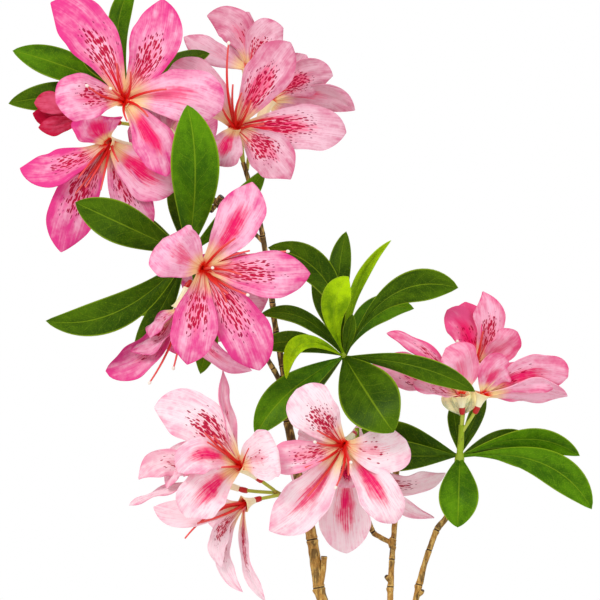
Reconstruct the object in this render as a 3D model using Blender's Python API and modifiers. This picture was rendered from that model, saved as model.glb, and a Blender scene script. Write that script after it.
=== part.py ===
"""Azalea shrub: three woody stems from one flared foot, with leaf whorls and large open blooms.

Units are metres, +Z is up and -Y is the front. The origin is the middle of the flat cut at ground level.
Every leaf and petal is a thin blade on a curved midline that starts at the middle of its whorl or bloom.
"""

import math
from collections import namedtuple

import bmesh
import bpy
from mathutils import Matrix, Vector

GAP = 0.0003
FRONT = Vector((0.0, -1.0, 0.0))

# Driving sizes. Blade tables below give shares of these lengths and widths.
PETAL_LENGTH = 0.050
PETAL_WIDTH = 0.024
PETAL_THICKNESS = 0.0010
PETAL_WIDEST = 0.60
PETAL_CLAW = 0.20
PETAL_CUP = 0.35
LEAF_LENGTH = 0.050
LEAF_WIDTH = 0.016
LEAF_THICKNESS = 0.0011
LEAF_FULLNESS = 1.25
LEAF_CUP = -0.15
PEDICEL_RADIUS = 0.0009
OVARY_RADIUS = 0.0016
THROAT_RADIUS = 0.0042
THROAT_RIM = 0.0020
PETAL_ROOT = 0.0012
LEAF_ROOT = 0.0005
WHORL_HEIGHT = 0.007
WHORL_HEART = 0.65
SLEEVE_WALL = 0.0013

STEM_STEP = 0.009
STEM_BEVEL = 2
STALK_STEP = 0.007
STALK_BEVEL = 1
BLADE_ROWS = 5
BLADE_COLUMNS = 2
MIDDLE_SHARE = 0.55
CUP_TURN = 1.4
TIP_WIDTH = 0.12
WELD = 1e-6

# One blade: clock is the angle in the front view (degrees, 0 to the right, 90 up), reach the length seen
# there, forward how far the tip comes to the front, bow the sideways and arch the frontward swing of the
# middle, roll the turn about the midline (degrees). All but the angles are shares of the full size.
Blade = namedtuple("Blade", "clock reach forward width bow arch roll")

# Woody limbs: (x, y, z, radius) from the lower end to the tip, and the limb that each one springs from.
LIMBS = {
    "stem_main": (None, [
        (0.000, 0.000, 0.000, 0.0078), (0.000, 0.000, 0.003, 0.0068), (-0.001, 0.000, 0.012, 0.0050),
        (-0.004, 0.000, 0.028, 0.0038), (-0.013, 0.000, 0.052, 0.0032), (-0.025, 0.000, 0.080, 0.0028),
        (-0.030, 0.001, 0.111, 0.0026), (-0.037, 0.002, 0.1425, 0.0024), (-0.0445, 0.004, 0.1825, 0.0021)]),
    "stem_middle": ("stem_main", [
        (0.000, 0.001, 0.011, 0.0024), (0.003, 0.003, 0.028, 0.0022), (0.0075, 0.003, 0.055, 0.0019),
        (0.009, 0.002, 0.080, 0.0016), (0.0100, 0.006, 0.100, 0.0015), (0.012, 0.020, 0.1425, 0.0014),
        (0.003, 0.019, 0.170, 0.0014), (-0.0085, 0.011, 0.189, 0.0014), (-0.0125, 0.003, 0.1985, 0.0015)]),
    "stem_right": ("stem_main", [
        (0.000, -0.001, 0.008, 0.0022), (0.007, -0.004, 0.018, 0.0020), (0.0155, -0.003, 0.052, 0.0017),
        (0.0218, -0.002, 0.080, 0.0016), (0.0269, -0.002, 0.100, 0.0015), (0.0323, -0.002, 0.115, 0.0015),
        (0.0375, -0.002, 0.122, 0.0014), (0.0425, 0.000, 0.136, 0.0014), (0.0438, 0.000, 0.151, 0.0016),
        (0.0450, -0.001, 0.1675, 0.0015)]),
    "bough_centre": ("stem_main", [
        (-0.0445, 0.004, 0.1825, 0.0017), (-0.0445, 0.0045, 0.195, 0.0016), (-0.048, 0.005, 0.215, 0.0015),
        (-0.0535, 0.006, 0.255, 0.0013), (-0.0575, 0.006, 0.275, 0.0012), (-0.0645, 0.002, 0.299, 0.0011)]),
    "bough_left": ("bough_centre", [
        (-0.0445, 0.004, 0.186, 0.0014), (-0.052, 0.003, 0.200, 0.0014), (-0.066, 0.001, 0.220, 0.0014),
        (-0.0825, -0.001, 0.2395, 0.0014), (-0.0895, -0.003, 0.249, 0.0014)]),
    "bough_upper_left": ("bough_centre", [
        (-0.054, 0.006, 0.2585, 0.0011), (-0.066, 0.007, 0.270, 0.0011), (-0.078, 0.007, 0.2785, 0.0013),
        (-0.091, 0.006, 0.2925, 0.0011), (-0.111, 0.004, 0.3125, 0.0012), (-0.1195, 0.003, 0.3295, 0.0013)]),
    "twig_low": ("stem_main", [
        (-0.0365, 0.002, 0.140, 0.0011), (-0.0425, 0.001, 0.1325, 0.0010),
        (-0.0495, -0.001, 0.1345, 0.0011)]),
    "twig_pale": ("stem_middle", [
        (0.0100, 0.009, 0.1085, 0.0013), (0.004, 0.009, 0.1115, 0.0014), (-0.0005, 0.009, 0.116, 0.0013),
        (-0.0055, 0.009, 0.135, 0.0011), (-0.0075, 0.008, 0.166, 0.0011)]),
}

# The stump of a cut side branch, fused to its limb.
STUMP_LIMB = "stem_main"
STUMP = [
    (-0.0265, -0.001, 0.084, 0.0014), (-0.0246, -0.001, 0.094, 0.0015), (-0.0240, -0.001, 0.102, 0.0014)]

# Leaf whorls: the limb that bears each, the route point where it sits (-1 at the tip), and its leaves.
WHORLS = {
    "leaves_top_left": ("bough_upper_left", -1, [
        Blade(160, 1.24, -0.06, 1.02, -0.03, 0.03, 15), Blade(-175, 1.21, -0.02, 0.94, -0.03, -0.06, 20),
        Blade(143, 0.60, 0.08, 0.50, 0.00, 0.00, 30), Blade(119, 1.27, -0.12, 0.85, 0.00, 0.00, 20),
        Blade(85, 1.17, -0.16, 0.72, 0.17, -0.05, 20), Blade(26, 0.90, 0.04, 0.75, 0.04, -0.04, -25),
        Blade(124, 0.80, -0.76, 0.95, 0.00, -0.10, 0), Blade(66, 0.78, -0.72, 0.90, 0.00, -0.10, 0),
        Blade(-178, 0.70, -0.74, 0.85, 0.00, -0.10, 0), Blade(-5, 0.60, -0.70, 0.85, 0.00, -0.10, 0)]),
    "leaves_left": ("bough_left", -1, [
        Blade(90, 1.49, 0.72, 1.52, -0.08, 0.22, 0), Blade(155, 1.23, 0.66, 1.29, 0.00, 0.18, 0),
        Blade(-155, 1.56, 0.30, 1.12, 0.22, 0.06, 10), Blade(-119, 1.12, -0.42, 0.76, 0.03, -0.04, 20),
        Blade(48, 1.16, 0.10, 0.74, -0.04, 0.02, 25), Blade(-84, 1.20, -0.35, 0.80, 0.10, -0.10, 0),
        Blade(152, 0.85, -0.72, 0.95, 0.00, -0.10, 0), Blade(96, 0.90, -0.66, 0.95, 0.00, -0.10, 0),
        Blade(-150, 0.90, -0.66, 0.90, 0.20, -0.10, 0)]),
    "leaves_centre": ("stem_middle", -1, [
        Blade(125, 1.33, -0.15, 1.02, -0.28, 0.00, 10), Blade(89, 1.25, -0.28, 0.72, 0.07, -0.05, 15),
        Blade(87, 0.80, 0.28, 0.92, 0.13, 0.10, 10), Blade(68, 1.25, 0.00, 0.42, 0.14, 0.00, 35),
        Blade(-159, 0.62, 0.34, 0.55, -0.28, 0.12, 25), Blade(154, 0.94, 0.05, 0.60, -0.16, 0.03, 30),
        Blade(175, 0.87, 0.18, 0.70, -0.10, 0.04, 15), Blade(-138, 1.19, 0.24, 1.12, -0.10, 0.06, 10),
        Blade(-57, 0.90, 0.74, 1.86, -0.01, 0.18, 0), Blade(-15, 1.35, 0.50, 0.78, 0.09, 0.26, 20),
        Blade(31, 1.33, 0.12, 1.04, 0.28, 0.04, 10), Blade(79, 0.43, 0.10, 0.40, 0.00, 0.00, 0),
        Blade(112, 0.85, -0.76, 0.90, -0.06, -0.10, 0), Blade(34, 0.85, -0.72, 0.86, 0.20, -0.10, 0),
        Blade(-62, 0.74, -0.70, 0.95, 0.00, -0.10, 0), Blade(-143, 0.80, -0.68, 0.85, 0.00, -0.10, 0)]),
    "leaves_right": ("stem_right", -2, [
        Blade(165, 1.02, -0.10, 1.12, 0.00, 0.00, 0), Blade(179, 1.08, 0.06, 1.00, 0.01, 0.06, 10),
        Blade(-92, 0.71, 0.28, 1.25, 0.00, 0.14, 0), Blade(-22, 1.42, 0.16, 1.06, 0.24, 0.06, 5),
        Blade(0, 1.20, -0.06, 0.80, 0.17, 0.02, 25), Blade(98, 0.53, -0.14, 0.50, 0.00, -0.04, 20),
        Blade(68, 0.68, -0.22, 0.52, 0.00, -0.06, 20), Blade(171, 0.75, -0.74, 0.95, 0.00, -0.10, 0),
        Blade(-93, 0.52, -0.75, 0.90, 0.00, -0.10, 0), Blade(-13, 0.85, -0.72, 0.84, 0.16, -0.10, 0),
        Blade(5, 0.80, -0.50, 0.80, 0.10, -0.08, 0)]),
}

# Blooms: the limb that bears each, the colour of its petals, its stalk (points from the limb to the
# throat) and the petals themselves.
BLOOMS = {
    "bloom_top_left": ("bough_upper_left", "petal_vivid", [
        (-0.1160, 0.003, 0.3195), (-0.1190, -0.005, 0.3240), (-0.1240, -0.017, 0.3300)], [
        Blade(127, 1.21, 0.08, 1.09, -0.13, 0.10, 0), Blade(69, 1.08, 0.14, 1.04, -0.09, 0.12, 0),
        Blade(-6, 0.99, 0.24, 1.15, 0.10, 0.12, 0), Blade(-61, 0.88, 0.30, 0.86, 0.06, 0.04, 10),
        Blade(-177, 0.67, 0.52, 1.00, -0.04, 0.12, 10)]),
    "bud_top_left": ("bough_upper_left", "petal_bud", [
        (-0.1150, 0.004, 0.3170), (-0.1290, -0.001, 0.3190), (-0.1430, -0.004, 0.3215)], [
        Blade(165, 0.54, 0.02, 0.50, -0.05, 0.06, 20), Blade(-167, 0.49, 0.16, 0.40, 0.02, 0.08, -10),
        Blade(176, 0.53, -0.06, 0.50, 0.02, -0.04, 0)]),
    "bloom_left": ("bough_upper_left", "petal_vivid", [
        (-0.1080, 0.004, 0.3095), (-0.1200, -0.004, 0.3070), (-0.1320, -0.013, 0.3085)], [
        Blade(111, 0.31, 0.12, 1.08, 0.03, 0.06, 0), Blade(-164, 0.91, 0.12, 0.85, 0.11, 0.08, 30),
        Blade(-113, 1.19, 0.04, 1.00, -0.06, 0.08, 0), Blade(-65, 1.00, 0.02, 0.82, -0.03, 0.06, 0),
        Blade(-32, 0.83, 0.10, 1.10, -0.05, 0.04, 0)]),
    "bloom_top": ("bough_centre", "petal_dusty", [
        (-0.0645, 0.002, 0.2990), (-0.0665, -0.001, 0.3055), (-0.0680, -0.008, 0.3165)], [
        Blade(57, 1.01, 0.14, 0.96, 0.02, 0.12, 0), Blade(-3, 1.11, 0.10, 0.96, 0.03, 0.10, 0),
        Blade(-44, 0.76, 0.26, 0.96, 0.04, 0.08, 10), Blade(-115, 0.43, 0.36, 0.80, -0.01, 0.08, 15),
        Blade(141, 0.88, 0.08, 1.04, -0.07, 0.08, 0)]),
    "bloom_top_rear": ("bough_centre", "petal_dusty", [
        (-0.0642, 0.0035, 0.2978), (-0.0655, 0.013, 0.3200), (-0.0610, 0.015, 0.3450)], [
        Blade(153, 0.74, 0.00, 0.62, 0.02, -0.04, 25), Blade(128, 0.70, -0.14, 0.74, -0.15, -0.04, 0),
        Blade(91, 0.59, -0.24, 0.72, 0.08, -0.04, 0), Blade(52, 0.54, 0.04, 0.86, 0.07, 0.02, 0)]),
    "bloom_top_right": ("bough_centre", "petal_dusty", [
        (-0.0625, 0.003, 0.2950), (-0.0600, 0.011, 0.3100), (-0.0520, 0.013, 0.3300)], [
        Blade(20, 0.69, 0.06, 0.85, 0.09, 0.04, 25), Blade(-7, 0.87, -0.06, 0.70, 0.11, -0.02, 35),
        Blade(50, 0.60, -0.30, 0.80, 0.00, -0.06, 0), Blade(-35, 0.50, -0.36, 0.80, 0.00, -0.06, 0)]),
    "bloom_centre": ("bough_left", "petal_vivid", [
        (-0.0800, -0.001, 0.2365), (-0.0815, -0.010, 0.2410), (-0.0845, -0.025, 0.2460)], [
        Blade(60, 0.99, 0.20, 0.98, -0.07, 0.12, 0), Blade(143, 0.50, 0.42, 1.22, 0.03, 0.22, 0),
        Blade(-3, 1.08, 0.16, 0.98, -0.03, 0.12, 0), Blade(-61, 1.17, 0.06, 1.06, 0.06, 0.12, 0),
        Blade(-99, 0.98, 0.16, 0.98, 0.01, 0.12, 0)]),
    "bloom_centre_rear": ("bough_left", "petal_vivid", [
        (-0.0820, -0.001, 0.2385), (-0.0925, -0.007, 0.2370), (-0.0960, -0.007, 0.2260)], [
        Blade(-137, 0.42, 0.16, 0.60, -0.03, 0.00, 65), Blade(-140, 0.64, 0.04, 0.70, 0.10, 0.00, 60),
        Blade(-140, 0.97, -0.06, 0.82, 0.13, 0.00, 35), Blade(-42, 0.96, -0.04, 0.70, -0.10, 0.00, 55),
        Blade(-95, 0.46, -0.18, 0.80, 0.00, -0.04, 0)]),
    "bloom_low_centre": ("twig_pale", "petal_pale", [
        (-0.0075, 0.008, 0.1640), (-0.0095, 0.000, 0.1625), (-0.0145, -0.015, 0.1575)], [
        Blade(130, 0.73, 0.28, 1.02, 0.00, 0.10, 0), Blade(-171, 0.80, 0.22, 0.76, 0.04, 0.08, 20),
        Blade(5, 0.63, 0.20, 1.02, -0.08, 0.08, 0), Blade(-131, 1.13, 0.08, 1.00, 0.08, 0.10, 0),
        Blade(-56, 0.94, 0.20, 0.86, 0.03, 0.10, 0)]),
    "bloom_low_rear": ("twig_pale", "petal_pale", [
        (-0.0068, 0.009, 0.1600), (-0.0095, 0.006, 0.1560), (-0.0125, 0.001, 0.1500)], [
        Blade(-90, 0.93, 0.02, 1.06, -0.02, -0.02, 0), Blade(-94, 0.28, 0.24, 0.66, 0.00, 0.06, 0),
        Blade(-8, 1.00, -0.16, 0.70, -0.16, -0.02, 50),
        Blade(-34, 1.05, -0.04, 0.60, -0.07, 0.00, 60), Blade(-70, 0.58, -0.14, 0.90, 0.00, -0.04, 0)]),
    "bloom_right_left": ("stem_right", "petal_mid", [
        (0.0448, -0.001, 0.1665), (0.0450, -0.004, 0.1762), (0.0445, -0.006, 0.1822)], [
        Blade(139, 0.98, 0.10, 0.62, -0.09, 0.04, 60), Blade(158, 0.96, -0.18, 0.84, -0.01, -0.02, 30),
        Blade(162, 0.50, 0.10, 0.65, 0.02, 0.04, 60), Blade(108, 0.50, 0.06, 0.90, -0.09, 0.06, 25)]),
    "bloom_right_top": ("stem_right", "petal_mid", [
        (0.0448, 0.000, 0.1650), (0.0475, 0.007, 0.1850), (0.0525, 0.011, 0.1975)], [
        Blade(118, 0.63, 0.06, 0.78, -0.06, 0.04, 30), Blade(85, 0.74, -0.06, 0.78, -0.09, 0.00, 30),
        Blade(38, 0.53, 0.08, 0.72, -0.02, 0.04, 35), Blade(100, 0.64, -0.34, 0.90, 0.01, -0.06, 0)]),
    "bloom_right": ("stem_right", "petal_mid", [
        (0.0448, -0.001, 0.1635), (0.0528, -0.005, 0.1765), (0.0550, -0.006, 0.1828)], [
        Blade(11, 0.87, 0.06, 0.92, 0.11, 0.04, 30), Blade(-2, 0.85, -0.10, 0.75, 0.07, 0.00, 50),
        Blade(50, 0.42, 0.18, 0.80, 0.05, 0.06, 30), Blade(20, 0.55, -0.30, 0.85, 0.00, -0.06, 0)]),
    "bloom_low_left": ("twig_low", "petal_pale", [
        (-0.0490, -0.001, 0.1350), (-0.0575, -0.006, 0.1412), (-0.0660, -0.013, 0.1475)], [
        Blade(146, 1.03, 0.12, 1.06, -0.14, 0.08, 0), Blade(99, 0.96, 0.04, 0.50, 0.05, 0.06, 60),
        Blade(21, 0.42, 0.50, 1.06, 0.01, 0.16, 0), Blade(-136, 0.75, 0.30, 0.98, -0.05, 0.10, 0),
        Blade(-174, 0.62, 0.42, 0.90, -0.14, 0.10, 35)]),
    "bloom_far_left": ("twig_low", "petal_pale", [
        (-0.0470, 0.001, 0.1335), (-0.0655, 0.008, 0.1352), (-0.0835, 0.010, 0.1410)], [
        Blade(-179, 0.67, 0.06, 0.66, -0.16, 0.02, 25), Blade(-165, 0.40, 0.10, 0.60, -0.16, 0.02, 50),
        Blade(-161, 0.81, 0.00, 0.50, -0.01, 0.00, 70), Blade(140, 0.46, -0.40, 0.85, 0.00, -0.06, 0)]),
    "bloom_hanging": ("twig_low", "petal_pale", [
        (-0.0465, -0.001, 0.1325), (-0.0585, -0.003, 0.1300), (-0.0640, -0.006, 0.1280)], [
        Blade(-110, 0.67, 0.10, 0.46, -0.12, 0.04, 30), Blade(-91, 0.88, 0.00, 0.36, -0.20, 0.02, 20),
        Blade(-78, 1.00, -0.06, 0.36, -0.09, 0.00, 45), Blade(-179, 0.90, 0.06, 0.75, 0.09, 0.04, 35),
        Blade(-158, 0.42, -0.40, 0.85, 0.00, -0.06, 0)]),
    "bloom_back_top": ("bough_upper_left", "petal_vivid", [
        (-0.0960, 0.006, 0.2980), (-0.0990, 0.014, 0.3050), (-0.1020, 0.026, 0.3120)], [
        Blade(100, 0.56, -0.60, 1.00, 0.00, -0.12, 0), Blade(28, 0.54, -0.60, 1.00, 0.00, -0.12, 0),
        Blade(-44, 0.46, -0.66, 1.00, 0.00, -0.12, 0), Blade(-116, 0.50, -0.60, 1.00, 0.00, -0.12, 0),
        Blade(172, 0.42, -0.60, 1.00, 0.00, -0.12, 0)]),
    "bloom_back_centre": ("bough_left", "petal_vivid", [
        (-0.0680, 0.001, 0.2225), (-0.0700, 0.010, 0.2270), (-0.0740, 0.024, 0.2330)], [
        Blade(62, 0.46, -0.60, 1.00, 0.00, -0.12, 0), Blade(-6, 0.44, -0.60, 1.00, 0.00, -0.12, 0),
        Blade(-62, 0.62, -0.54, 1.00, 0.00, -0.12, 0), Blade(-104, 0.50, -0.64, 1.00, 0.00, -0.12, 0),
        Blade(140, 0.50, -0.62, 1.00, 0.00, -0.12, 0)]),
    "bloom_back_low": ("twig_pale", "petal_pale", [
        (-0.0070, 0.009, 0.1600), (-0.0110, 0.018, 0.1600), (-0.0170, 0.030, 0.1570)], [
        Blade(128, 0.46, -0.60, 1.00, 0.00, -0.12, 0), Blade(186, 0.42, -0.60, 1.00, 0.00, -0.12, 0),
        Blade(-130, 0.62, -0.54, 1.00, 0.00, -0.12, 0), Blade(-62, 0.58, -0.56, 1.00, 0.00, -0.12, 0),
        Blade(8, 0.52, -0.60, 1.00, 0.00, -0.12, 0)]),
}

FINISHES = {
    "bark": ((0.19, 0.12, 0.06), 0.85),
    "leaf": ((0.035, 0.13, 0.02), 0.35),
    "petal_vivid": ((0.90, 0.22, 0.42), 0.55),
    "petal_dusty": ((0.86, 0.36, 0.47), 0.6),
    "petal_pale": ((0.93, 0.55, 0.65), 0.6),
    "petal_mid": ((0.88, 0.30, 0.44), 0.6),
    "petal_bud": ((0.55, 0.05, 0.16), 0.5),
}


def clear_scene():
    for obj in list(bpy.data.objects):
        bpy.data.objects.remove(obj, do_unlink=True)


def new_collection(name):
    collection = bpy.data.collections.new(name)
    bpy.context.scene.collection.children.link(collection)
    return collection


def smooth_route(points, step):
    """Catmull-Rom curve through the route's points, read at about one point every step metres."""
    padded = [points[0]] + list(points) + [points[-1]]
    route = []
    for before, start, end, after in zip(padded, padded[1:], padded[2:], padded[3:]):
        span = (Vector(end[:3]) - Vector(start[:3])).length
        count = max(1, round(span / step))
        for index in range(count):
            t = index / count
            route.append([0.5 * (2 * b + (c - a) * t + (2 * a - 5 * b + 4 * c - d) * t ** 2
                                 + (3 * b - a - 3 * c + d) * t ** 3)
                          for a, b, c, d in zip(before, start, end, after)])
    route.append(list(points[-1]))
    return route


def tube(name, points, step, bevel, collection, swell=0.0):
    """Tapered round limb through (x, y, z, radius) points, closed; swell widens and lengthens it."""
    curve = bpy.data.curves.new(name, "CURVE")
    curve.dimensions = "3D"
    curve.bevel_depth = 1.0
    curve.bevel_resolution = bevel
    curve.use_fill_caps = True
    route = smooth_route(points, step)
    if swell:
        first, last = Vector(route[0][:3]), Vector(route[-1][:3])
        route[0][:3] = first + (first - Vector(route[1][:3])).normalized() * swell
        route[-1][:3] = last + (last - Vector(route[-2][:3])).normalized() * swell
    spline = curve.splines.new("POLY")
    spline.points.add(len(route) - 1)
    for point, (x, y, z, radius) in zip(spline.points, route):
        point.co = (x, y, z, 1.0)
        point.radius = radius + swell
    guide = bpy.data.objects.new(name + "_guide", curve)
    collection.objects.link(guide)
    bpy.context.view_layer.update()
    evaluated = guide.evaluated_get(bpy.context.evaluated_depsgraph_get())
    mesh = bpy.data.meshes.new_from_object(evaluated)
    bpy.data.objects.remove(guide, do_unlink=True)
    shell = bmesh.new()
    shell.from_mesh(mesh)
    bmesh.ops.remove_doubles(shell, verts=shell.verts, dist=WELD)
    bmesh.ops.recalc_face_normals(shell, faces=shell.faces)
    shell.to_mesh(mesh)
    shell.free()
    limb = bpy.data.objects.new(name, mesh)
    collection.objects.link(limb)
    return limb


def blade_midline(heart, root, blade, length):
    """Quadratic Bezier from root metres outside the heart, through the swung middle, to the tip."""
    clock = math.radians(blade.clock)
    along = Vector((math.cos(clock), 0.0, math.sin(clock)))
    side = Vector((-math.sin(clock), 0.0, math.cos(clock)))
    tip = heart + (along * blade.reach + FRONT * blade.forward) * length
    start = heart + (tip - heart).normalized() * root
    middle = start.lerp(tip, MIDDLE_SHARE) + (side * blade.bow + FRONT * blade.arch) * length
    return start, 2.0 * middle - 0.5 * (start + tip), tip


def petal_outline(t):
    """Half width of a petal as a share of its half width: narrow claw, broad middle, pointed tip."""
    if t < PETAL_WIDEST:
        return PETAL_CLAW + (1.0 - PETAL_CLAW) * math.sin(0.5 * math.pi * t / PETAL_WIDEST) ** 1.4
    return max(TIP_WIDTH, 1.0 - ((t - PETAL_WIDEST) / (1.0 - PETAL_WIDEST)) ** 2.2)


def leaf_outline(t):
    """Half width of a leaf as a share of its half width: stalk, then widest past the middle, blunt tip."""
    return max(TIP_WIDTH, math.sin(math.pi * t ** LEAF_FULLNESS) ** 0.8)


Kind = namedtuple("Kind", "root length width thickness cup outline")
PETAL_KIND = Kind(PETAL_ROOT, PETAL_LENGTH, PETAL_WIDTH, PETAL_THICKNESS, PETAL_CUP, petal_outline)
LEAF_KIND = Kind(LEAF_ROOT, LEAF_LENGTH, LEAF_WIDTH, LEAF_THICKNESS, LEAF_CUP, leaf_outline)


def blade_mesh(name, heart, blade, kind, collection):
    """Thin closed blade: a flat grid laid along the midline, then thickened by Solidify."""
    bpy.ops.mesh.primitive_grid_add(x_subdivisions=BLADE_COLUMNS, y_subdivisions=BLADE_ROWS, size=2.0)
    piece = bpy.context.active_object
    piece.name = name
    first, control, last = blade_midline(heart, kind.root, blade, kind.length)
    for vertex in piece.data.vertices:
        across, t = vertex.co.x, (vertex.co.y + 1.0) / 2.0
        point = first * (1.0 - t) ** 2 + control * 2.0 * t * (1.0 - t) + last * t ** 2
        tangent = ((control - first) * (1.0 - t) + (last - control) * t).normalized()
        normal = (FRONT - tangent * FRONT.dot(tangent)).normalized()
        normal = Matrix.Rotation(math.radians(blade.roll), 3, tangent) @ normal
        half = 0.5 * kind.width * blade.width * kind.outline(t)
        lift = kind.cup * half * across ** 2 * (1.0 - CUP_TURN * t)
        vertex.co = point + tangent.cross(normal) * half * across + normal * lift
    shell = piece.modifiers.new("Thickness", "SOLIDIFY")
    shell.thickness = kind.thickness
    shell.offset = 0.0
    bpy.ops.object.modifier_apply(modifier=shell.name)
    for linked in list(piece.users_collection):
        linked.objects.unlink(piece)
    collection.objects.link(piece)
    return piece


def drop_scraps(mesh):
    """Keep only the largest of the mesh's loose shells."""
    shell = bmesh.new()
    shell.from_mesh(mesh)
    waiting = set(shell.verts)
    groups = []
    while waiting:
        group, front = set(), [waiting.pop()]
        while front:
            vertex = front.pop()
            group.add(vertex)
            linked = {edge.other_vert(vertex) for edge in vertex.link_edges} & waiting
            waiting -= linked
            front.extend(linked)
        groups.append(group)
    groups.sort(key=len)
    for group in groups[:-1]:
        bmesh.ops.delete(shell, geom=list(group), context="VERTS")
    shell.to_mesh(mesh)
    shell.free()


def fuse(name, pieces, collection):
    """One closed body from overlapping pieces; the exact solver leaves open edges on such thin blades."""
    body, others = pieces[0], pieces[1:]
    tools = new_collection(name + "_pieces")
    for piece in others:
        tools.objects.link(piece)
        collection.objects.unlink(piece)
    bpy.context.view_layer.objects.active = body
    union = body.modifiers.new("Fuse", "BOOLEAN")
    union.operation = "UNION"
    union.operand_type = "COLLECTION"
    union.collection = tools
    union.solver = "MANIFOLD"
    bpy.ops.object.modifier_apply(modifier=union.name)
    for piece in list(tools.objects):
        bpy.data.objects.remove(piece, do_unlink=True)
    bpy.data.collections.remove(tools)
    body.name = name
    return body


def seat(piece, limb_name, cutters):
    """Cut a piece 0.3 mm clear of the limb that it springs from."""
    cutter = tube(limb_name + "_clearance", LIMBS[limb_name][1], STEM_STEP, STEM_BEVEL, cutters, GAP)
    bpy.context.view_layer.objects.active = piece
    cut = piece.modifiers.new("Seat", "BOOLEAN")
    cut.operation = "DIFFERENCE"
    cut.object = cutter
    cut.solver = "MANIFOLD"
    bpy.ops.object.modifier_apply(modifier=cut.name)
    bpy.data.objects.remove(cutter, do_unlink=True)
    drop_scraps(piece.data)


def finish(piece, material_name):
    colour, roughness = FINISHES[material_name]
    material = bpy.data.materials.new(piece.name + "_" + material_name)
    material.use_nodes = True
    shader = material.node_tree.nodes["Principled BSDF"]
    shader.inputs["Base Color"].default_value = (*colour, 1.0)
    shader.inputs["Roughness"].default_value = roughness
    shader.inputs["Metallic"].default_value = 0.0
    piece.data.materials.clear()
    piece.data.materials.append(material)


def build_limb(name, plant, cutters):
    parent, route = LIMBS[name]
    limb = tube(name, route, STEM_STEP, STEM_BEVEL, plant)
    if name == STUMP_LIMB:
        limb = fuse(name, [limb, tube(name + "_stump", STUMP, STEM_STEP, STEM_BEVEL, plant)], plant)
    if parent:
        seat(limb, parent, cutters)
    finish(limb, "bark")


def build_whorl(name, plant, cutters):
    limb_name, place, leaves = WHORLS[name]
    route = LIMBS[limb_name][1]
    seat_point, below = Vector(route[place][:3]), Vector(route[place - 1][:3])
    rise = (seat_point - below).normalized()
    at_tip = place == -1
    foot = seat_point + rise * (GAP if at_tip else -0.5 * WHORL_HEIGHT)
    radius = route[place][3] + (0.0 if at_tip else SLEEVE_WALL)
    top = foot + rise * WHORL_HEIGHT
    hub = tube(name, [(*foot, radius), (*top, radius)], WHORL_HEIGHT, STALK_BEVEL, plant)
    heart = foot + rise * WHORL_HEIGHT * WHORL_HEART
    blades = [blade_mesh(f"{name}_leaf_{index}", heart, leaf, LEAF_KIND, plant)
              for index, leaf in enumerate(leaves)]
    whorl = fuse(name, [hub, *blades], plant)
    seat(whorl, limb_name, cutters)
    finish(whorl, "leaf")


def build_bloom(name, plant, cutters):
    limb_name, colour, stalk, petals = BLOOMS[name]
    radii = [PEDICEL_RADIUS, OVARY_RADIUS, THROAT_RADIUS]
    route = [(*point, radius) for point, radius in zip(stalk, radii)]
    throat = Vector(stalk[-1])
    rim = throat + (throat - Vector(stalk[-2])).normalized() * THROAT_RIM
    route.append((*rim, THROAT_RADIUS))
    funnel = tube(name, route, STALK_STEP, STALK_BEVEL, plant)
    blades = [blade_mesh(f"{name}_petal_{index}", throat, petal, PETAL_KIND, plant)
              for index, petal in enumerate(petals)]
    bloom = fuse(name, [funnel, *blades], plant)
    seat(bloom, limb_name, cutters)
    finish(bloom, colour)


def main():
    clear_scene()
    plant = new_collection("azalea_shrub")
    cutters = new_collection("cutters")
    for name in LIMBS:
        build_limb(name, plant, cutters)
    for name in WHORLS:
        build_whorl(name, plant, cutters)
    for name in BLOOMS:
        build_bloom(name, plant, cutters)
    bpy.data.collections.remove(cutters)


main()
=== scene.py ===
"""Azalea shrub: bark, leaves, blooms, stamens and a studio stage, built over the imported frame.

Units are metres, +Z is up and -Y is the front. Leaves and petals are thin blades on curved midlines that
start at the middle of their whorl or bloom, by the same rule and from the same shares as the frame's solids.
The tables hold millimetres and hundredths of the full size, and are turned into metres and shares below.
"""

import math
import random
from collections import namedtuple

import bpy
import numpy as np
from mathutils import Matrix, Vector, noise


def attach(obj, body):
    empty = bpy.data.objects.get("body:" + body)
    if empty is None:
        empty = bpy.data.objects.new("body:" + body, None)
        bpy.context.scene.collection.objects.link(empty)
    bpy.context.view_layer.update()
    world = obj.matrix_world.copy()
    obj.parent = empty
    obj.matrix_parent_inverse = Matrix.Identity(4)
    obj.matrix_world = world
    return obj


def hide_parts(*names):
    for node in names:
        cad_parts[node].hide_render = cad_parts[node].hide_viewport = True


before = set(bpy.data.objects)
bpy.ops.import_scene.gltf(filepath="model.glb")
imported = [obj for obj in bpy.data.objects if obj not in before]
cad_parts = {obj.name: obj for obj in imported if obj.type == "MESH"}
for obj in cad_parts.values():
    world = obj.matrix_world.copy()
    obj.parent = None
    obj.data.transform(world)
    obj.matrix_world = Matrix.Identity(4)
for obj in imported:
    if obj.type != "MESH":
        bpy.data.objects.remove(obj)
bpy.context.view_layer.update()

bl_info = {
    "name": "Azalea Shrub",
    "version": (1, 0, 0),
    "blender": (4, 5, 0),
    "location": "View3D > Sidebar > Azalea",
    "description": "Builds the bark, leaves, blooms and studio stage of an azalea shrub around its frame",
    "category": "Object",
}

BODY = "root"
FRONT = np.array((0.0, -1.0, 0.0))
MM = 0.001

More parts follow.
